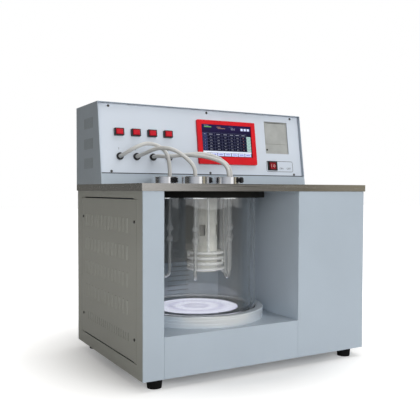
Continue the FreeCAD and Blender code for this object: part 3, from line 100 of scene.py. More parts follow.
def make_camera():
    forward = Vector((math.sin(CAMERA_YAW) * math.cos(CAMERA_PITCH), math.cos(CAMERA_YAW) * math.cos(CAMERA_PITCH),
                      -math.sin(CAMERA_PITCH)))
    level = Vector((math.cos(CAMERA_YAW), -math.sin(CAMERA_YAW), 0.0))
    upright = level.cross(forward)
    right = math.cos(CAMERA_ROLL) * level + math.sin(CAMERA_ROLL) * upright
    up = math.cos(CAMERA_ROLL) * upright - math.sin(CAMERA_ROLL) * level
    data = bpy.data.cameras.new("camera")
    data.lens = CAMERA_LENS
    data.sensor_width = 36.0
    data.clip_start = 0.05
    data.clip_end = 100.0
    camera = link("camera", data)
    turn = Matrix((right, up, -forward)).transposed()
    camera.matrix_world = Matrix.Translation(CAMERA_PLACE) @ turn.to_4x4()
    bpy.context.scene.camera = camera


def make_hose(number, route):
    curve = bpy.data.curves.new("hose_line_%d" % number, "CURVE")
    curve.dimensions = "3D"
    curve.bevel_depth = 1.0
    curve.bevel_resolution = 8
    curve.resolution_u = 12
    spline = curve.splines.new("NURBS")
    spline.points.add(len(route) - 1)
    for point, place in zip(spline.points, route):
        point.co = (*place, 1.0)
        point.radius = HOSE_RADIUS
    spline.order_u = 3
    spline.use_endpoint_u = True
    piece = link("silicone_hose_%d" % number, curve)
    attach(piece, "cabinet")
    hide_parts("hose_%d" % number)
    return piece


make_camera()
hoses = [make_hose(number + 1, HOSE_ROUTES[number]) for number in range(4)]


# Material building blocks

LAMPLIGHT_THROUGH_GLASS = 0.99
GLOSS_SCALE = 60.0
PEEL_SCALE = 1100.0
PEEL_DEPTH = 0.00004


class Shader:
    """A material whose nodes are added one by one; points are measured in metres in the object's own frame."""

    def __init__(self, name, color, metallic=0.0, roughness=0.5):
        self.material = bpy.data.materials.new(name)
        self.material.use_nodes = True
        self.tree = self.material.node_tree
        self.surface = self.tree.nodes["Principled BSDF"]
        self.surface.inputs["Base Color"].default_value = (*color, 1.0)
        self.surface.inputs["Metallic"].default_value = metallic
        self.surface.inputs["Roughness"].default_value = roughness
        self.place = self.tree.nodes.new("ShaderNodeTexCoord").outputs["Object"]

    def set(self, **values):
        for key, value in values.items():
            self.surface.inputs[key.replace("_", " ")].default_value = value
        return self

    def add(self, kind, **settings):
        made = self.tree.nodes.new(kind)
        for key, value in settings.items():
            setattr(made, key, value)
        return made

    def join(self, source, target):
        self.tree.links.new(source, target)

    def mapped(self, scale, offset=(0.0, 0.0, 0.0)):
        mapping = self.add("ShaderNodeMapping")
        mapping.inputs["Scale"].default_value = scale
        mapping.inputs["Location"].default_value = offset
        self.join(self.place, mapping.inputs["Vector"])
        return mapping.outputs["Vector"]

    def noise(self, scale, detail=2.0, roughness=0.5, stretch=(1.0, 1.0, 1.0)):
        made = self.add("ShaderNodeTexNoise")
        made.inputs["Scale"].default_value = scale
        made.inputs["Detail"].default_value = detail
        made.inputs["Roughness"].default_value = roughness
        self.join(self.mapped(stretch), made.inputs["Vector"])
        return made.outputs["Fac"]

    def spread(self, value, low, high, start=0.0, end=1.0):
        made = self.add("ShaderNodeMapRange")
        for key, number in (("From Min", start), ("From Max", end), ("To Min", low), ("To Max", high)):
            made.inputs[key].default_value = number
        self.join(value, made.inputs["Value"])
        return made.outputs["Result"]

    def math(self, kind, first, second=None):
        made = self.add("ShaderNodeMath", operation=kind)
        for socket, value in zip(made.inputs, (first, second)):
            if isinstance(value, (int, float)):
                socket.default_value = value
            elif value is not None:
                self.join(value, socket)
        return made.outputs["Value"]

    def ramp(self, value, stops):
        made = self.add("ShaderNodeValToRGB")
        elements = made.color_ramp.elements
        while len(elements) < len(stops):
            elements.new(0.5)
        for element, (position, color) in zip(elements, stops):
            element.position = position
            element.color = (*color, 1.0)
        self.join(value, made.inputs["Fac"])
        return made.outputs["Color"]

    def axis(self, letter, scale=1.0):
        split = self.add("ShaderNodeSeparateXYZ")
        self.join(self.place, split.inputs["Vector"])
        return self.math("MULTIPLY", split.outputs[letter], scale)

    def color(self, output):
        self.join(output, self.surface.inputs["Base Color"])
        return self

    def rough(self, output):
        self.join(output, self.surface.inputs["Roughness"])
        return self

    def bump(self, height, distance, strength=1.0):
        made = self.add("ShaderNodeBump")
        made.inputs["Distance"].default_value = distance
        made.inputs["Strength"].default_value = strength
        self.join(height, made.inputs["Height"])
        if self.surface.inputs["Normal"].is_linked:
            self.join(self.surface.inputs["Normal"].links[0].from_socket, made.inputs["Normal"])
        self.join(made.outputs["Normal"], self.surface.inputs["Normal"])
        return self

    def coat(self, low, high):
        """The gloss and the fine orange peel of baked paint."""
        self.rough(self.spread(self.noise(GLOSS_SCALE, 3.0), low, high))
        return self.bump(self.noise(PEEL_SCALE, 2.0), PEEL_DEPTH, 0.5)


def tinted(color, factor):
    return tuple(min(1.0, channel * factor) for channel in color)


def powder_coat(name, color, roughness=0.42):
    """Sprayed and baked paint: a fine orange peel and faint cloudiness."""
    made = Shader(name, color, roughness=roughness)
    cloud = made.noise(5.0, 3.0)
    made.color(made.ramp(cloud, ((0.3, tinted(color, 0.965)), (0.7, tinted(color, 1.035)))))
    return made.coat(roughness - 0.05, roughness + 0.07).material


def side_coat(name, color):
    """Satin paint that mirrors the room a little, with a painted reflection in its colour: a lighter band above mid
    height, with a wavy edge, and painted shade towards the foot and the top.
    """
    made = Shader(name, color, roughness=0.36)
    height = made.math("ADD", made.axis("Z"), made.spread(made.noise(3.0, 2.0), -0.03, 0.03))
    made.color(made.ramp(made.spread(height, 0.0, 1.0, BODY_FOOT, WORKTOP),
                         ((0.0, tinted(color, 0.96)), (0.30, tinted(color, 1.02)), (0.58, tinted(color, 1.08)),
                          (0.80, tinted(color, 1.0)), (1.0, tinted(color, 0.90)))))
    return made.coat(0.31, 0.43).material


def bay_paint(name):
    """The bay's walls: the body's paint made half again as light, a painted light for the bay, and on the rear wall a
    seam with an olive coat above it.
    """
    # Painted light: the walls are half again as light as the body's paint, to stand in for light in the bay.
    wall = tinted(BODY_COLOR, 1.5)
    made = Shader(name, wall, roughness=0.40)
    rear = made.spread(made.axis("Y"), 0.0, 1.0, BAY_REAR_START, BAY_REAR)
    height = made.spread(made.axis("Z"), 0.0, 1.0, BAY_SEAM - BAY_SEAM_REACH, BAY_SEAM + BAY_SEAM_REACH)
    tone = made.ramp(made.math("MULTIPLY", rear, height),
                     ((0.0, wall), (0.42, tinted(BODY_COLOR, 1.1)), (0.5, (0.05, 0.05, 0.05)),
                      (0.58, (0.27, 0.275, 0.25))))
    made.color(tone)
    return made.coat(0.36, 0.47).material


def brushed(name, color, stretch, roughness=0.3, depth=0.00002, contrast=0.12, metallic=1.0):
    """Metal with fine parallel scratches: they run along the axis whose stretch is small."""
    made = Shader(name, color, metallic=metallic, roughness=roughness)
    lines = made.noise(1.0, 4.0, 0.6, stretch)
    made.color(made.ramp(lines, ((0.3, tinted(color, 1 - contrast)), (0.7, tinted(color, 1 + contrast)))))
    made.rough(made.spread(lines, roughness - 0.08, roughness + 0.1, 0.3, 0.7))
    made.bump(lines, depth, 0.6)
    return made.material


def moulded(name, color, roughness, grain=1500.0, depth=0.00003, shine=0.5):
    """Moulded plastic or rubber with a fine grain."""
    made = Shader(name, color, roughness=roughness).set(Specular_IOR_Level=shine)
    patch = made.noise(35.0, 3.0)
    made.color(made.ramp(patch, ((0.3, tinted(color, 0.9)), (0.7, tinted(color, 1.12)))))
    made.rough(made.spread(made.noise(220.0, 2.0), roughness - 0.05, roughness + 0.08))
    made.bump(made.noise(grain, 1.0), depth, 0.5)
    return made.material


def clear_glass(name, color, streaks, shine, clarity=1.0):
    """Drawn glass with long shallow waves along its height; it lets the lamps' light through."""
    made = Shader(name, color, roughness=0.0)
    made.set(Transmission_Weight=clarity, IOR=1.47, Specular_IOR_Level=shine)
    made.bump(made.noise(1.0, 2.0, 0.5, streaks), 0.0006, 0.35)
    shadow = made.add("ShaderNodeLightPath").outputs["Is Shadow Ray"]
    let_through = made.math("MULTIPLY", shadow, LAMPLIGHT_THROUGH_GLASS)
    made.join(made.math("SUBTRACT", 1.0, let_through), made.surface.inputs["Alpha"])
    return made.material


def lit_disc(name):
    """An opal disc lit from below: white, with violet rings and a violet rim of painted shade and reflection in its
    glow, and cloudy patches.
    """
    made = Shader(name, (0.40, 0.40, 0.46), roughness=0.35)
    across = made.math("SUBTRACT", made.axis("X"), JAR_X)
    along = made.math("SUBTRACT", made.axis("Y"), JAR_Y)
    square = made.math("ADD", made.math("MULTIPLY", across, across), made.math("MULTIPLY", along, along))
    reach = made.math("MULTIPLY", made.math("SQRT", square), 1 / LIGHT_RADIUS)
    cloudy = made.math("ADD", reach, made.spread(made.noise(14.0, 2.0), -0.10, 0.10))
    # Painted shade and reflection: the violet rings and the violet rim in the disc's glow.
    glow = made.ramp(cloudy, ((0.0, (0.80, 0.80, 0.86)), (0.30, (0.62, 0.61, 0.72)), (0.38, (0.95, 0.95, 1.0)),
                              (0.50, (0.95, 0.95, 1.0)), (0.62, (0.60, 0.59, 0.72)), (0.72, (0.86, 0.86, 0.94)),
                              (0.92, (0.93, 0.93, 1.0)), (1.0, (0.66, 0.65, 0.80))))
    made.join(glow, made.surface.inputs["Emission Color"])
    made.set(Emission_Strength=0.74)
    return made.material


def milky_silicone(name):
    """Soft translucent tubing, with a painted sheen: its colour lightens towards its outline."""
    made = Shader(name, (0.68, 0.68, 0.67), roughness=0.34)
    made.set(Transmission_Weight=0.12, IOR=1.41)
    sheen_rim = made.add("ShaderNodeLayerWeight")
    sheen_rim.inputs["Blend"].default_value = 0.35
    cloud = made.spread(made.noise(60.0, 3.0), -0.08, 0.08)
    made.color(made.ramp(made.math("ADD", sheen_rim.outputs["Facing"], cloud),
                         ((0.0, (0.62, 0.62, 0.61)), (0.45, (0.69, 0.69, 0.68)), (0.9, (0.82, 0.82, 0.82)))))
    made.rough(made.spread(made.noise(200.0, 2.0), 0.30, 0.40))
    made.bump(made.noise(300.0, 1.0), 0.00002, 0.3)
    return made.material


def display_face(name):
    """A dark liquid crystal panel under gloss glass, a little violet towards the top."""
    made = Shader(name, (0.010, 0.012, 0.030), roughness=0.12).set(Specular_IOR_Level=0.18)
    height = made.axis("Z")
    made.color(made.ramp(made.spread(height, 0.0, 1.0, DISPLAY_FOOT, DISPLAY_HEAD),
                         ((0.0, (0.006, 0.008, 0.020)), (0.7, (0.010, 0.010, 0.032)), (1.0, (0.030, 0.018, 0.085)))))
    made.rough(made.spread(made.noise(300.0, 2.0), 0.10, 0.16))
    made.bump(made.noise(900.0, 1.0), 0.00001, 0.3)
    return made.material


def screen_light(name, color, strength):
    """A lit part of the display, with the fine pitch of its pixels."""
    made = Shader(name, tinted(color, 0.15), roughness=0.3).set(Specular_IOR_Level=0.1)
    pixels = made.add("ShaderNodeTexChecker")
    pixels.inputs["Scale"].default_value = 2600.0
    pixels.inputs["Color1"].default_value = (*color, 1.0)
    pixels.inputs["Color2"].default_value = (*tinted(color, 0.86), 1.0)
    made.join(made.place, pixels.inputs["Vector"])
    made.join(pixels.outputs["Color"], made.surface.inputs["Emission Color"])
    made.set(Emission_Strength=strength)
    return made.material


def printed_ink(name, color):
    made = Shader(name, color, roughness=0.6)
    made.color(made.ramp(made.noise(700.0, 2.0), ((0.3, tinted(color, 0.8)), (0.7, tinted(color, 1.3)))))
    return made.material


BODY_COLOR = (0.390, 0.450, 0.515)
PANEL_COLOR = (0.585, 0.640, 0.720)
STEEL_COLOR = (0.57, 0.56, 0.54)

body_paint = powder_coat("body_paint", BODY_COLOR)
# Painted shade: the body's paint made darker and less blue for the left side, which lies in shade.
shaded_side_paint = side_coat("shaded_side_paint", (0.375, 0.385, 0.36))
liner_paint = bay_paint("liner_paint")
panel_film = powder_coat("panel_film", PANEL_COLOR, 0.34)
worktop_steel = brushed("worktop_steel", STEEL_COLOR, (6.0, 700.0, 700.0), 0.19, 0.000003)
turned_steel = brushed("turned_steel", (0.90, 0.94, 0.98), (3.0, 3.0, 900.0), 0.20, 0.0000006, 0.03, 0.62)
silver = brushed("silver", (0.97, 0.97, 0.94), (40.0, 40.0, 40.0), 0.22, 0.000002, 0.02, 0.15)
chrome = brushed("chrome", (0.84, 0.84, 0.85), (4.0, 4.0, 500.0), 0.10, 0.0000008, 0.05)
bright_steel = brushed("bright_steel", (0.66, 0.65, 0.62), (60.0, 60.0, 4.0), 0.3)
dark_steel = brushed("dark_steel", (0.16, 0.16, 0.16), (300.0, 300.0, 300.0), 0.4)
dark_metal = powder_coat("dark_metal", (0.030, 0.030, 0.034), 0.45)
black_plastic = moulded("black_plastic", (0.012, 0.012, 0.014), 0.42)
ring_black = moulded("ring_black", (0.007, 0.007, 0.006), 0.6, shine=0.14)
rubber = moulded("rubber", (0.006, 0.006, 0.006), 0.65, 900.0, 0.00006, 0.2)
bezel_red = moulded("bezel_red", (0.62, 0.012, 0.020), 0.42, shine=0.2)
cap_red = moulded("cap_red", (0.52, 0.008, 0.020), 0.36, shine=0.2)
rocker_red = moulded("rocker_red", (0.24, 0.004, 0.010), 0.28, shine=0.3)
printer_grey = moulded("printer_grey", (0.36, 0.37, 0.36), 0.50, 1300.0)
cream_tube = moulded("cream_tube", (0.88, 0.87, 0.80), 0.38, 600.0)
seal_grey = moulded("seal_grey", (0.10, 0.11, 0.12), 0.55, 900.0)
paper_white = moulded("paper_white", (0.80, 0.80, 0.78), 0.8)
board_green = moulded("board_green", (0.02, 0.12, 0.04), 0.4)
jar_glass = clear_glass("jar_glass", (0.985, 0.992, 0.995), (26.0, 26.0, 1.5), 0.25)
tube_glass = clear_glass("tube_glass", (0.98, 0.99, 0.99), (90.0, 90.0, 4.0), 0.9, 0.91)
disc_light = lit_disc("disc_light")
silicone = milky_silicone("silicone")
display = display_face("display")
ink = printed_ink("ink", (0.045, 0.050, 0.060))
pale_ink = printed_ink("pale_ink", (0.75, 0.72, 0.70))
# Painted shade for the slots and cross recesses in screw heads.
recess_painted_shade = printed_ink("recess_painted_shade", (0.010, 0.010, 0.012))
# Painted shadow under the console's lower lip.
lip_shadow_black = printed_ink("lip_shadow_black", (0.015, 0.018, 0.024))
# Painted shade for the console's side slots.
vent_painted_shade = printed_ink("vent_painted_shade", (0.10, 0.105, 0.10))

NODE_FINISHES = {
    rubber: ("rubber_feet",),
    seal_grey: ("jar_seal",),
    cream_tube: ("guide_tube",),
    dark_steel: ("screws",),
    body_paint: ("bay_floor", "base_pan", "front_left_pillar", "front_sill", "right_front_panel", "right_side_panel",
                 "rear_panel", "console_rear_panel", "console_shell"),
    shaded_side_paint: ("left_side_frame", "left_louvre_panel"),
    liner_paint: ("bay_liner",),
    panel_film: ("control_panel",),
    worktop_steel: ("worktop",),
    turned_steel: ("jar_base_flange",),
    chrome: ("holder_rings",),
    silver: ("heater_coil",),
    bright_steel: ("stirrer_shaft", "stirrer_propeller", "temperature_probe"),
    dark_metal: ("stirrer_motor", "vacuum_pump", "power_supply"),
    black_plastic: ("button_housings", "hose_fittings", "printer_feed_button", "power_switch_housing",
                    "power_inlet", "viscometer_plugs", "thumbscrew_1", "thumbscrew_2", "thumbscrew_3",
                    "thumbscrew_4"),
    ring_black: ("jar_top_ring",),
    bezel_red: ("screen_bezel",),
    cap_red: ("button_cap_1", "button_cap_2", "button_cap_3", "button_cap_4"),
    rocker_red: ("power_rocker",),
    printer_grey: ("printer_case", "printer_door"),
    paper_white: ("paper_roll",),
    board_green: ("control_board",),
    jar_glass: ("outer_glass_sleeve", "inner_glass_jar"),
    tube_glass: ("viscometer_1", "viscometer_2", "viscometer_3", "viscometer_4"),
    disc_light: ("light_disc",),
    display: ("touch_screen",),
}


def wear(piece, material):
    piece.data.materials.clear()
    piece.data.materials.append(material)


for finish, names in NODE_FINISHES.items():
    for name in names:
        wear(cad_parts[name], finish)
for hose in hoses:
    wear(hose, silicone)


# Thin pieces drawn flat, with x across, y up and z out of the face that they lie on


class Drawing:
    """Plates, heads and figures gathered in one mesh, each with its own finish."""

    def __init__(self):
        self.mesh = bmesh.new()
        self.finishes = []

    def number(self, finish):
        if finish not in self.finishes:
            self.finishes.append(finish)
        return self.finishes.index(finish)

    def plate(self, x, y, width, height, low, thick, finish):
        made = bmesh.ops.create_cube(self.mesh, size=1.0)
        place = Matrix.Translation((x, y, low + thick / 2)) @ Matrix.Diagonal((width, height, thick, 1.0))
        bmesh.ops.transform(self.mesh, matrix=place, verts=made["verts"])
        for face in {face for vert in made["verts"] for face in vert.link_faces}:
            face.material_index = self.number(finish)

    def disc(self, x, y, radius, low, thick, finish):
        """A low round head."""
        made = bmesh.ops.create_cone(self.mesh, cap_ends=True, segments=24, radius1=radius, radius2=0.82 * radius,
                                     depth=thick)
        bmesh.ops.translate(self.mesh, vec=(x, y, low + thick / 2), verts=made["verts"])
        for face in {face for vert in made["verts"] for face in vert.link_faces}:
            face.material_index = self.number(finish)

    def figure(self, text, x, y, size, low, thick, finish):
        """Letters centred on x and y."""
        curve = bpy.data.curves.new("figure", "FONT")
        curve.body = text
        curve.size = size
        curve.align_x = "CENTER"
        curve.align_y = "CENTER"
        curve.extrude = thick / 2
        curve.resolution_u = 3
        holder = link("figure", curve)
        mesh = bpy.data.meshes.new_from_object(holder)
        mesh.transform(Matrix.Translation((x, y, low + thick / 2)))
        first = len(self.mesh.faces)
        self.mesh.from_mesh(mesh)
        self.mesh.faces.ensure_lookup_table()
        for face in self.mesh.faces[first:]:
            face.material_index = self.number(finish)
        bpy.data.objects.remove(holder)
        bpy.data.curves.remove(curve)
        bpy.data.meshes.remove(mesh)

    def outline(self, x0, x1, y0, y1, corner, line, low, thick, finish):
        """A rounded rectangle drawn as a line."""
        rims = []
        for inset in (0.0, line):
            ring = []
            radius = corner - inset
            for cx, cy, start in ((x1 - corner, y1 - corner, 0), (x0 + corner, y1 - corner, 90),
                                  (x0 + corner, y0 + corner, 180), (x1 - corner, y0 + corner, 270)):
                for step in range(7):
                    angle = math.radians(start + 15 * step)
                    ring.append((cx + radius * math.cos(angle), cy + radius * math.sin(angle)))
            rims.append(ring)
        layers = [[[self.mesh.verts.new((px, py, z)) for px, py in ring] for ring in rims]
                  for z in (low, low + thick)]
        count = len(rims[0])
        for i in range(count):
            j = (i + 1) % count
            quads = [(layers[1][0][i], layers[1][0][j], layers[1][1][j], layers[1][1][i]),
                     (layers[0][0][j], layers[0][0][i], layers[0][1][i], layers[0][1][j]),
                     (layers[0][0][i], layers[0][0][j], layers[1][0][j], layers[1][0][i]),
                     (layers[0][1][j], layers[0][1][i], layers[1][1][i], layers[1][1][j])]
            for quad in quads:
                self.mesh.faces.new(quad).material_index = self.number(finish)

    def finish_piece(self, name, body, matrix=PANEL):
        bmesh.ops.recalc_face_normals(self.mesh, faces=self.mesh.faces)
        data = bpy.data.meshes.new(name)
        self.mesh.to_mesh(data)
        self.mesh.free()
        data.transform(matrix)
        for finish in self.finishes:
            data.materials.append(finish)
        piece = link(name, data)
        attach(piece, body)
        return piece


# Touch screen picture: a table of readings with buttons beside and below it

def draw_screen():
    """The lit picture, drawn by shares of the display's width and height."""
    line = screen_light("screen_line", (0.16, 0.17, 0.30), 0.55)
    white = screen_light("screen_white", (0.42, 0.44, 0.56), 0.8)
    green = screen_light("screen_green", (0.25, 0.75, 0.20), 0.6)
    amber = screen_light("screen_amber", (0.55, 0.30, 0.22), 0.6)
    red = screen_light("screen_red", (0.75, 0.30, 0.35), 0.7)
    mint = screen_light("screen_mint", (0.45, 0.66, 0.62), 0.9)
    deep_mint = screen_light("screen_deep_mint", (0.16, 0.33, 0.34), 0.8)
    lavender = screen_light("screen_lavender", (0.60, 0.66, 0.95), 0.95)
    pale = screen_light("screen_pale", (0.80, 0.86, 0.98), 0.95)
    violet = screen_light("screen_violet", (0.20, 0.20, 0.72), 0.7)
    cell_blue = screen_light("screen_cell", (0.035, 0.045, 0.150), 0.6)
    drawing = Drawing()

    def spot(x, y, width, height, finish, layer=0):
        """A plate, its middle measured from the display's lower left corner."""
        drawing.plate(DISPLAY_X + (x - 0.5) * DISPLAY_WIDTH, DISPLAY_Y + (y - 0.5) * DISPLAY_HEIGHT,
                      width * DISPLAY_WIDTH, height * DISPLAY_HEIGHT, DISPLAY_FACE + layer * FILM, FILM, finish)

    def words(text, x, y, size, finish, layer=1):
        drawing.figure(text, DISPLAY_X + (x - 0.5) * DISPLAY_WIDTH, DISPLAY_Y + (y - 0.5) * DISPLAY_HEIGHT,
                       size * DISPLAY_HEIGHT, DISPLAY_FACE + layer * FILM, FILM, finish)

    table_low, table_high, table_right = 0.185, 0.745, 0.895
    columns = (0.02, 0.105, 0.255, 0.40, 0.535, 0.655, 0.775, table_right)
    zero_column = 6
    rows = 6
    row_height = (table_high - table_low) / rows
    row_line, column_line = 0.006, 0.0035
    spot((columns[0] + columns[1]) / 2, (table_low + table_high) / 2, columns[1] - columns[0],
         table_high - table_low, cell_blue)
    for index in range(rows + 1):
        y = table_low + index * row_height
        spot((columns[0] + table_right) / 2, y, table_right - columns[0], row_line, line, 1)
    for x in columns:
        spot(x, (table_low + table_high) / 2, column_line, table_high - table_low, line, 1)
    for row in range(rows):
        y = table_high - (row + 0.5) * row_height
        for column in range(len(columns) - 1):
            x = (columns[column] + columns[column + 1]) / 2
            if row == 0:
                spot(x, y, 0.07 if column else 0.03, 0.016, white, 1)
            elif column == 0:
                words(str(row), x, y, 0.050, white)
            elif column == zero_column:
                words("0", x, y, 0.045, red)
            else:
                value = 100.0 * row / (column + 1) + 0.37 * column
                words("%.1f" % value, x, y, 0.042, white)
    title_bars = (
        (0.13, 0.925, 0.14, 0.022, green),
        (0.10, 0.970, 0.09, 0.014, white),
        (0.345, 0.930, 0.08, 0.018, amber),
        (0.400, 0.890, 0.15, 0.018, amber),
        (0.590, 0.955, 0.08, 0.014, line),
    )
    for bar in title_bars:
        spot(*bar)
    words("25.0", 0.63, 0.885, 0.085, white)
    status_icons = (0.815, 0.880, 0.945)
    for x in status_icons:
        spot(x, 0.885, 0.048, 0.075, lavender)
        spot(x, 0.893, 0.026, 0.032, pale, 1)
    side_keys, side_foot, side_pitch = 5, 0.230, 0.098
    for index in range(side_keys):
        y = side_foot + index * side_pitch
        spot(0.945, y, 0.082, 0.088, mint)
        spot(0.945, y, 0.050, 0.014, deep_mint, 1)
    spot(0.5, 0.150, 0.97, 0.050, pale)
    foot_keys, foot_start, foot_pitch = 7, 0.085, 0.138
    for index in range(foot_keys):
        x = foot_start + index * foot_pitch
        spot(x, 0.070, 0.128, 0.095, lavender)
        spot(x, 0.072, 0.078, 0.020, violet, 1)
    drawing.finish_piece("screen_picture", "cabinet")


# Marks beside the hose fittings and the rocker switch, on the slope

PORT_LABEL_X = -0.2513
PORT_PITCH = 0.0438
PORT_LABEL_UP = 0.0885
PORT_LABEL_SIZE = 0.0085
SWITCH_FRAME = (0.1800, 0.2705, 0.0395, 0.0698)
SWITCH_FRAME_CORNER = 0.0050
SWITCH_FRAME_LINE = 0.0011
SWITCH_LABELS = (("ON", 0.2310), ("OFF", 0.2560))
SWITCH_LABEL_UP = 0.0490
SWITCH_LABEL_SIZE = 0.0080

# A painted shadow: the dark strip on the panel's lower edge, where the console's lip shades it
LIP_SHADOW_UP = 0.0277
LIP_SHADOW_HEIGHT = 0.0032
LIP_SHADOW_THICKNESS = 0.0006
LIP_SHADOW_HALF_WIDTH = 0.3000

# The rocker: its pivot, its resting tilt, its hollow face and the two marks on it
SWITCH_X = 0.20015
SWITCH_UP = 0.05625
ROCKER_PIVOT = -0.0117
ROCKER_TILT = math.radians(7.0)
ROCKER_HALF = 0.0106
ROCKER_CROWN = 0.0064
ROCKER_VALLEY = 0.0040
MARK_LINE = 0.0011
MARK_HEIGHT = 0.0080
RING_HALF_WIDTH = 0.0024
RING_HALF_HEIGHT = 0.0036
RING_CORNER = 0.0023
RING_LINE = 0.0008

# Both sides of the console and the worktop
SIDE_NAMES = {-1: "left", 1: "right"}
TOP_HALF_WIDTH = 0.3024
VENT_HEIGHTS = (0.581, 0.530, 0.482)
VENT_SLOTS = 8
VENT_FRONT = 0.088
VENT_PITCH = 0.0086
VENT_WIDTH = 0.0020
VENT_LENGTH = 0.026
VENT_DEPTH = 0.6 * FILM
SKIRT_SCREWS = (-0.196, 0.010, 0.196)
SKIRT_SCREW_UP = 0.4225
SKIRT_SCREW_RADIUS = 0.0028
SKIRT_SCREW_DEPTH = 0.0009
SKIRT_SCREW_PROUD = 0.00004
SKIRT_SLOT_LENGTH = 0.0032
SKIRT_SLOT_WIDTH = 0.0008
SKIRT_SLOT_DEPTH = 0.00005

# Screw heads on the panel and on the cabinet's sides
SIDE_X = 0.300
HEAD_HEIGHT = 0.0014
PANEL_HEAD_HEIGHT = 0.0008
PANEL_SCREWS = [(x, y) for x in (-0.2727, 0.0, 0.2727) for y in (0.0327, 0.1932)]
SIDE_SCREWS = [(y, z) for y in (-0.170, 0.166) for z in (0.101, 0.349)]
CROSS_BARS = ((0.0034, 0.0008), (0.0008, 0.0034))
CROSS_THICKNESS = 0.00008


def side_plane(side):
    """Turns a drawing so that it lies on the left (-1) or the right (1) side, its y upright and its z outward."""
    return Matrix.Rotation(side * math.pi / 2, 4, "Z") @ Matrix.Rotation(math.pi / 2, 4, "X")


def draw_panel_marks():
    """Numbers over the hose fittings, and the outline with ON and OFF beside the switch."""
    drawing = Drawing()
    for index in range(4):
        drawing.figure(str(index + 1), PORT_LABEL_X + PORT_PITCH * index, PORT_LABEL_UP, PORT_LABEL_SIZE, PANEL_FACE,
                       FILM, ink)
    drawing.outline(*SWITCH_FRAME, SWITCH_FRAME_CORNER, SWITCH_FRAME_LINE, PANEL_FACE, FILM, ink)
    for text, x in SWITCH_LABELS:
        drawing.figure(text, x, SWITCH_LABEL_UP, SWITCH_LABEL_SIZE, PANEL_FACE, FILM, ink)
    drawing.finish_piece("panel_marks", "cabinet")


def draw_panel_gasket():
    """A painted shadow: the dark strip that lies on the panel's lower edge, behind the console's lip."""
    drawing = Drawing()
    drawing.plate(0.0, LIP_SHADOW_UP, 2 * LIP_SHADOW_HALF_WIDTH, LIP_SHADOW_HEIGHT, PANEL_FACE, LIP_SHADOW_THICKNESS, lip_shadow_black)
    drawing.finish_piece("panel_lip_shadow", "cabinet")


def draw_rocker_marks():
    """The I and O on the two halves of the rocker."""
    turn = Matrix.Translation((SWITCH_X, SWITCH_UP, ROCKER_PIVOT)) @ Matrix.Rotation(ROCKER_TILT, 4, "Y")
    slope = math.atan2(ROCKER_CROWN - ROCKER_VALLEY, ROCKER_HALF)
    drawing = Drawing()
    drawing.plate(0.0, 0.0, MARK_LINE, MARK_HEIGHT, 0.0, FILM, pale_ink)
    side = Matrix.Translation((-ROCKER_HALF / 2, 0.0, (ROCKER_CROWN + ROCKER_VALLEY) / 2))
    drawing.finish_piece("rocker_mark_on", "power_rocker",
                         PANEL @ turn @ side @ Matrix.Rotation(slope, 4, "Y"))
    drawing = Drawing()
    drawing.outline(-RING_HALF_WIDTH, RING_HALF_WIDTH, -RING_HALF_HEIGHT, RING_HALF_HEIGHT, RING_CORNER, RING_LINE,
                    0.0, FILM, pale_ink)
    side = Matrix.Translation((ROCKER_HALF / 2, 0.0, (ROCKER_CROWN + ROCKER_VALLEY) / 2))
    drawing.finish_piece("rocker_mark_off", "power_rocker",
                         PANEL @ turn @ side @ Matrix.Rotation(-slope, 4, "Y"))


def draw_console_vents():
    """Three groups of fine slots in each side of the console, drawn as dark plates: painted shade in place of the
    open slots.
    """
    for side in (-1, 1):
        drawing = Drawing()
        for height in VENT_HEIGHTS:
            for index in range(VENT_SLOTS):
                y = VENT_FRONT + VENT_PITCH * index
                drawing.plate(side * y, height, VENT_WIDTH, VENT_LENGTH, TOP_HALF_WIDTH - VENT_DEPTH, FILM, vent_painted_shade)
        drawing.finish_piece("console_vents_%s" % SIDE_NAMES[side], "cabinet", side_plane(side))


def draw_skirt_screws():
    """Small sunk screw heads along both side skirts of the worktop, each with a dark plate in its slot as painted
    shade.
    """
    for side in (-1, 1):
        drawing = Drawing()
        for y in SKIRT_SCREWS:
            drawing.disc(side * y, SKIRT_SCREW_UP, SKIRT_SCREW_RADIUS, TOP_HALF_WIDTH - SKIRT_SCREW_DEPTH,
                         SKIRT_SCREW_DEPTH + SKIRT_SCREW_PROUD, bright_steel)
            drawing.plate(side * y, SKIRT_SCREW_UP, SKIRT_SLOT_LENGTH, SKIRT_SLOT_WIDTH,
                          TOP_HALF_WIDTH - SKIRT_SLOT_DEPTH, 2 * SKIRT_SLOT_DEPTH, recess_painted_shade)
        drawing.finish_piece("skirt_screws_%s" % SIDE_NAMES[side], "cabinet", side_plane(side))


def draw_screw_crosses():
    """Cross recesses on the heads of the panel's and the sides' screws, drawn as dark plates: painted shade."""
    drawing = Drawing()
    for x, y in PANEL_SCREWS:
        for width, height in CROSS_BARS:
            drawing.plate(x, y, width, height, PANEL_FACE + PANEL_HEAD_HEIGHT, CROSS_THICKNESS, recess_painted_shade)
    drawing.finish_piece("panel_screw_crosses", "cabinet")
    for side in (-1, 1):
        drawing = Drawing()
        for y, z in SIDE_SCREWS:
            for width, height in CROSS_BARS:
                drawing.plate(side * y, z, width, height, SIDE_X + HEAD_HEIGHT, CROSS_THICKNESS, recess_painted_shade)
        drawing.finish_piece("side_screw_crosses_%s" % SIDE_NAMES[side], "cabinet",
                             side_plane(side))


draw_screen()
draw_panel_marks()
draw_panel_gasket()
draw_rocker_marks()
draw_console_vents()
draw_skirt_screws()
draw_screw_crosses()


# Surroundings: a pale floor, a white background and soft lamps

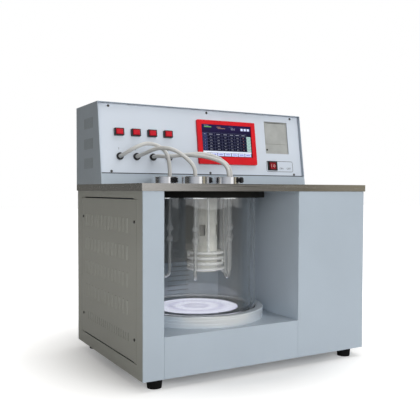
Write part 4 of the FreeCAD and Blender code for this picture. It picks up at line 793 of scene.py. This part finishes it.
# The room's tone by bearing in degrees: 0 is to the right, -90 is in front of the cabinet
ROOM_TONES = (
    (-180.0, (0.06, 0.06, 0.06)),
    (-165.0, (0.16, 0.18, 0.20)),
    (-150.0, (0.34, 0.36, 0.40)),
    (-120.0, (0.54, 0.56, 0.60)),
    (-90.0, (0.60, 0.61, 0.64)),
    (-85.0, (1.00, 1.00, 1.00)),
    (-65.5, (1.00, 1.00, 1.00)),
    (-62.0, (0.42, 0.41, 0.40)),
    (-58.5, (0.10, 0.10, 0.10)),
    (-53.0, (0.12, 0.11, 0.09)),
    (-47.0, (0.55, 0.50, 0.38)),
    (-28.0, (0.12, 0.12, 0.11)),
    (0.0, (0.30, 0.31, 0.31)),
    (60.0, (0.60, 0.61, 0.62)),
    (100.0, (0.16, 0.16, 0.15)),
    (180.0, (0.06, 0.06, 0.06)),
)
# The world as a lamp, and what a ray meets that has come through glass
WORLD_LIGHT = 0.22
WORLD_COLOR = (1.0, 0.95, 0.86)
GLASS_COLOR = (1.0, 1.0, 1.0)
WHITE = (1.0, 1.0, 1.0)

FLOOR_HALF = 12.0
FLOOR_COLOR = (0.80, 0.80, 0.80)
FLOOR_MIRRORED = (0.22, 0.215, 0.20)
MIRRORED_LOSS = 0.8
# The floor's own light by distance from the middle, as shares of this reach in metres
FLOOR_REACH = 2.0
FLOOR_LIGHT = ((0.13, (0.12,) * 3), (0.20, (0.46,) * 3), (0.30, (0.82,) * 3), (0.50, (1.0,) * 3))

# Lamps: name, place, point aimed at, side in metres, watts and colour
LAMPS = (
    ("key_lamp", (0.45, -3.2, 1.3), (0.0, 0.0, 0.25), 2.4, 64.0, (0.975, 0.99, 1.0)),
    ("top_lamp", (0.6, -0.3, 2.6), (0.0, 0.0, 0.2), 2.0, 34.0, WHITE),
    ("fill_lamp", (-2.2, -2.7, 0.7), (0.0, 0.0, 0.22), 1.4, 17.0, (1.0, 0.985, 0.95)),
)


def greater(tree, first, second):
    made = tree.nodes.new("ShaderNodeMath")
    made.operation = "MAXIMUM"
    tree.links.new(first, made.inputs[0])
    tree.links.new(second, made.inputs[1])
    return made.outputs["Value"]


def chosen(tree, factor, first, second):
    """The first colour where the factor is 0, the second where it is 1; each is a socket or a plain colour."""
    made = tree.nodes.new("ShaderNodeMix")
    made.data_type = "RGBA"
    tree.links.new(factor, made.inputs["Factor"])
    for key, value in (("A", first), ("B", second)):
        if isinstance(value, tuple):
            made.inputs[key].default_value = (*value, 1.0)
        else:
            tree.links.new(value, made.inputs[key])
    return made.outputs["Result"]


def kinds_of_ray(tree):
    """The kinds of ray, a mask of those from a mirror or glass, and a mask of these and the eye's own."""
    kinds = tree.nodes.new("ShaderNodeLightPath").outputs
    mirrored = greater(tree, kinds["Is Glossy Ray"], kinds["Is Transmission Ray"])
    return kinds, mirrored, greater(tree, kinds["Is Camera Ray"], mirrored)


def make_floor():
    """A pale floor that keeps the shadow near the object and is white further out."""
    mesh = bpy.data.meshes.new("floor")
    corners = ((-1, -1), (1, -1), (1, 1), (-1, 1))
    mesh.from_pydata([(x * FLOOR_HALF, y * FLOOR_HALF, 0) for x, y in corners], [], [(0, 1, 2, 3)])
    floor = link("floor", mesh)
    paper = Shader("floor_paper", FLOOR_COLOR, roughness=0.9).set(Specular_IOR_Level=0.0)
    across = paper.axis("X")
    along = paper.axis("Y")
    reach = paper.math("SQRT", paper.math("ADD", paper.math("MULTIPLY", across, across),
                                          paper.math("MULTIPLY", along, along)))
    glow = paper.ramp(paper.math("MULTIPLY", reach, 1 / FLOOR_REACH), FLOOR_LIGHT)
    mirrored, seen = kinds_of_ray(paper.tree)[1:]
    paper.color(paper.ramp(mirrored, ((0.0, FLOOR_COLOR), (1.0, FLOOR_MIRRORED))))
    kept = paper.math("SUBTRACT", 1.0, paper.math("MULTIPLY", mirrored, MIRRORED_LOSS))
    lit = paper.math("MULTIPLY", glow, paper.math("MULTIPLY", seen, kept))
    paper.join(lit, paper.surface.inputs["Emission Strength"])
    paper.surface.inputs["Emission Color"].default_value = (*WHITE, 1.0)
    mesh.materials.append(paper.material)


def make_world():
    """White to the eye; a room with light and dark parts to mirrors; even light to all else."""
    world = bpy.data.worlds.new("studio")
    world.use_nodes = True
    bpy.context.scene.world = world
    tree = world.node_tree
    background = tree.nodes["Background"]
    kinds, mirrored, seen = kinds_of_ray(tree)
    strength = tree.nodes.new("ShaderNodeMapRange")
    strength.inputs["To Min"].default_value = WORLD_LIGHT
    strength.inputs["To Max"].default_value = 1.0
    tree.links.new(seen, strength.inputs["Value"])
    tree.links.new(strength.outputs["Result"], background.inputs["Strength"])
    way = tree.nodes.new("ShaderNodeTexCoord")
    split = tree.nodes.new("ShaderNodeSeparateXYZ")
    tree.links.new(way.outputs["Generated"], split.inputs["Vector"])
    bearing = tree.nodes.new("ShaderNodeMath")
    bearing.operation = "ARCTAN2"
    tree.links.new(split.outputs["Y"], bearing.inputs[0])
    tree.links.new(split.outputs["X"], bearing.inputs[1])
    share = tree.nodes.new("ShaderNodeMapRange")
    share.inputs["From Min"].default_value = -math.pi
    share.inputs["From Max"].default_value = math.pi
    tree.links.new(bearing.outputs["Value"], share.inputs["Value"])
    room = tree.nodes.new("ShaderNodeValToRGB")
    elements = room.color_ramp.elements
    while len(elements) < len(ROOM_TONES):
        elements.new(0.5)
    for element, (degrees, tone) in zip(elements, ROOM_TONES):
        element.position = (degrees + 180.0) / 360.0
        element.color = (*tone, 1.0)
    tree.links.new(share.outputs["Result"], room.inputs["Fac"])
    color = chosen(tree, mirrored, WORLD_COLOR, room.outputs["Color"])
    color = chosen(tree, kinds["Is Transmission Ray"], color, GLASS_COLOR)
    color = chosen(tree, kinds["Is Camera Ray"], color, WHITE)
    tree.links.new(color, background.inputs["Color"])


def make_lamp(name, place, target, size, power, color):
    """A soft square lamp; mirrors see the room's own tones in its place."""
    data = bpy.data.lights.new(name, "AREA")
    data.shape = "SQUARE"
    data.size = size
    data.energy = power
    data.color = color
    lamp = link(name, data)
    lamp.visible_glossy = False
    lamp.visible_transmission = False
    lamp.location = place
    lamp.rotation_euler = (Vector(target) - Vector(place)).to_track_quat("-Z", "Y").to_euler()


make_floor()
make_world()
for lamp in LAMPS:
    make_lamp(*lamp)

bpy.context.scene.view_settings.view_transform = "Standard"
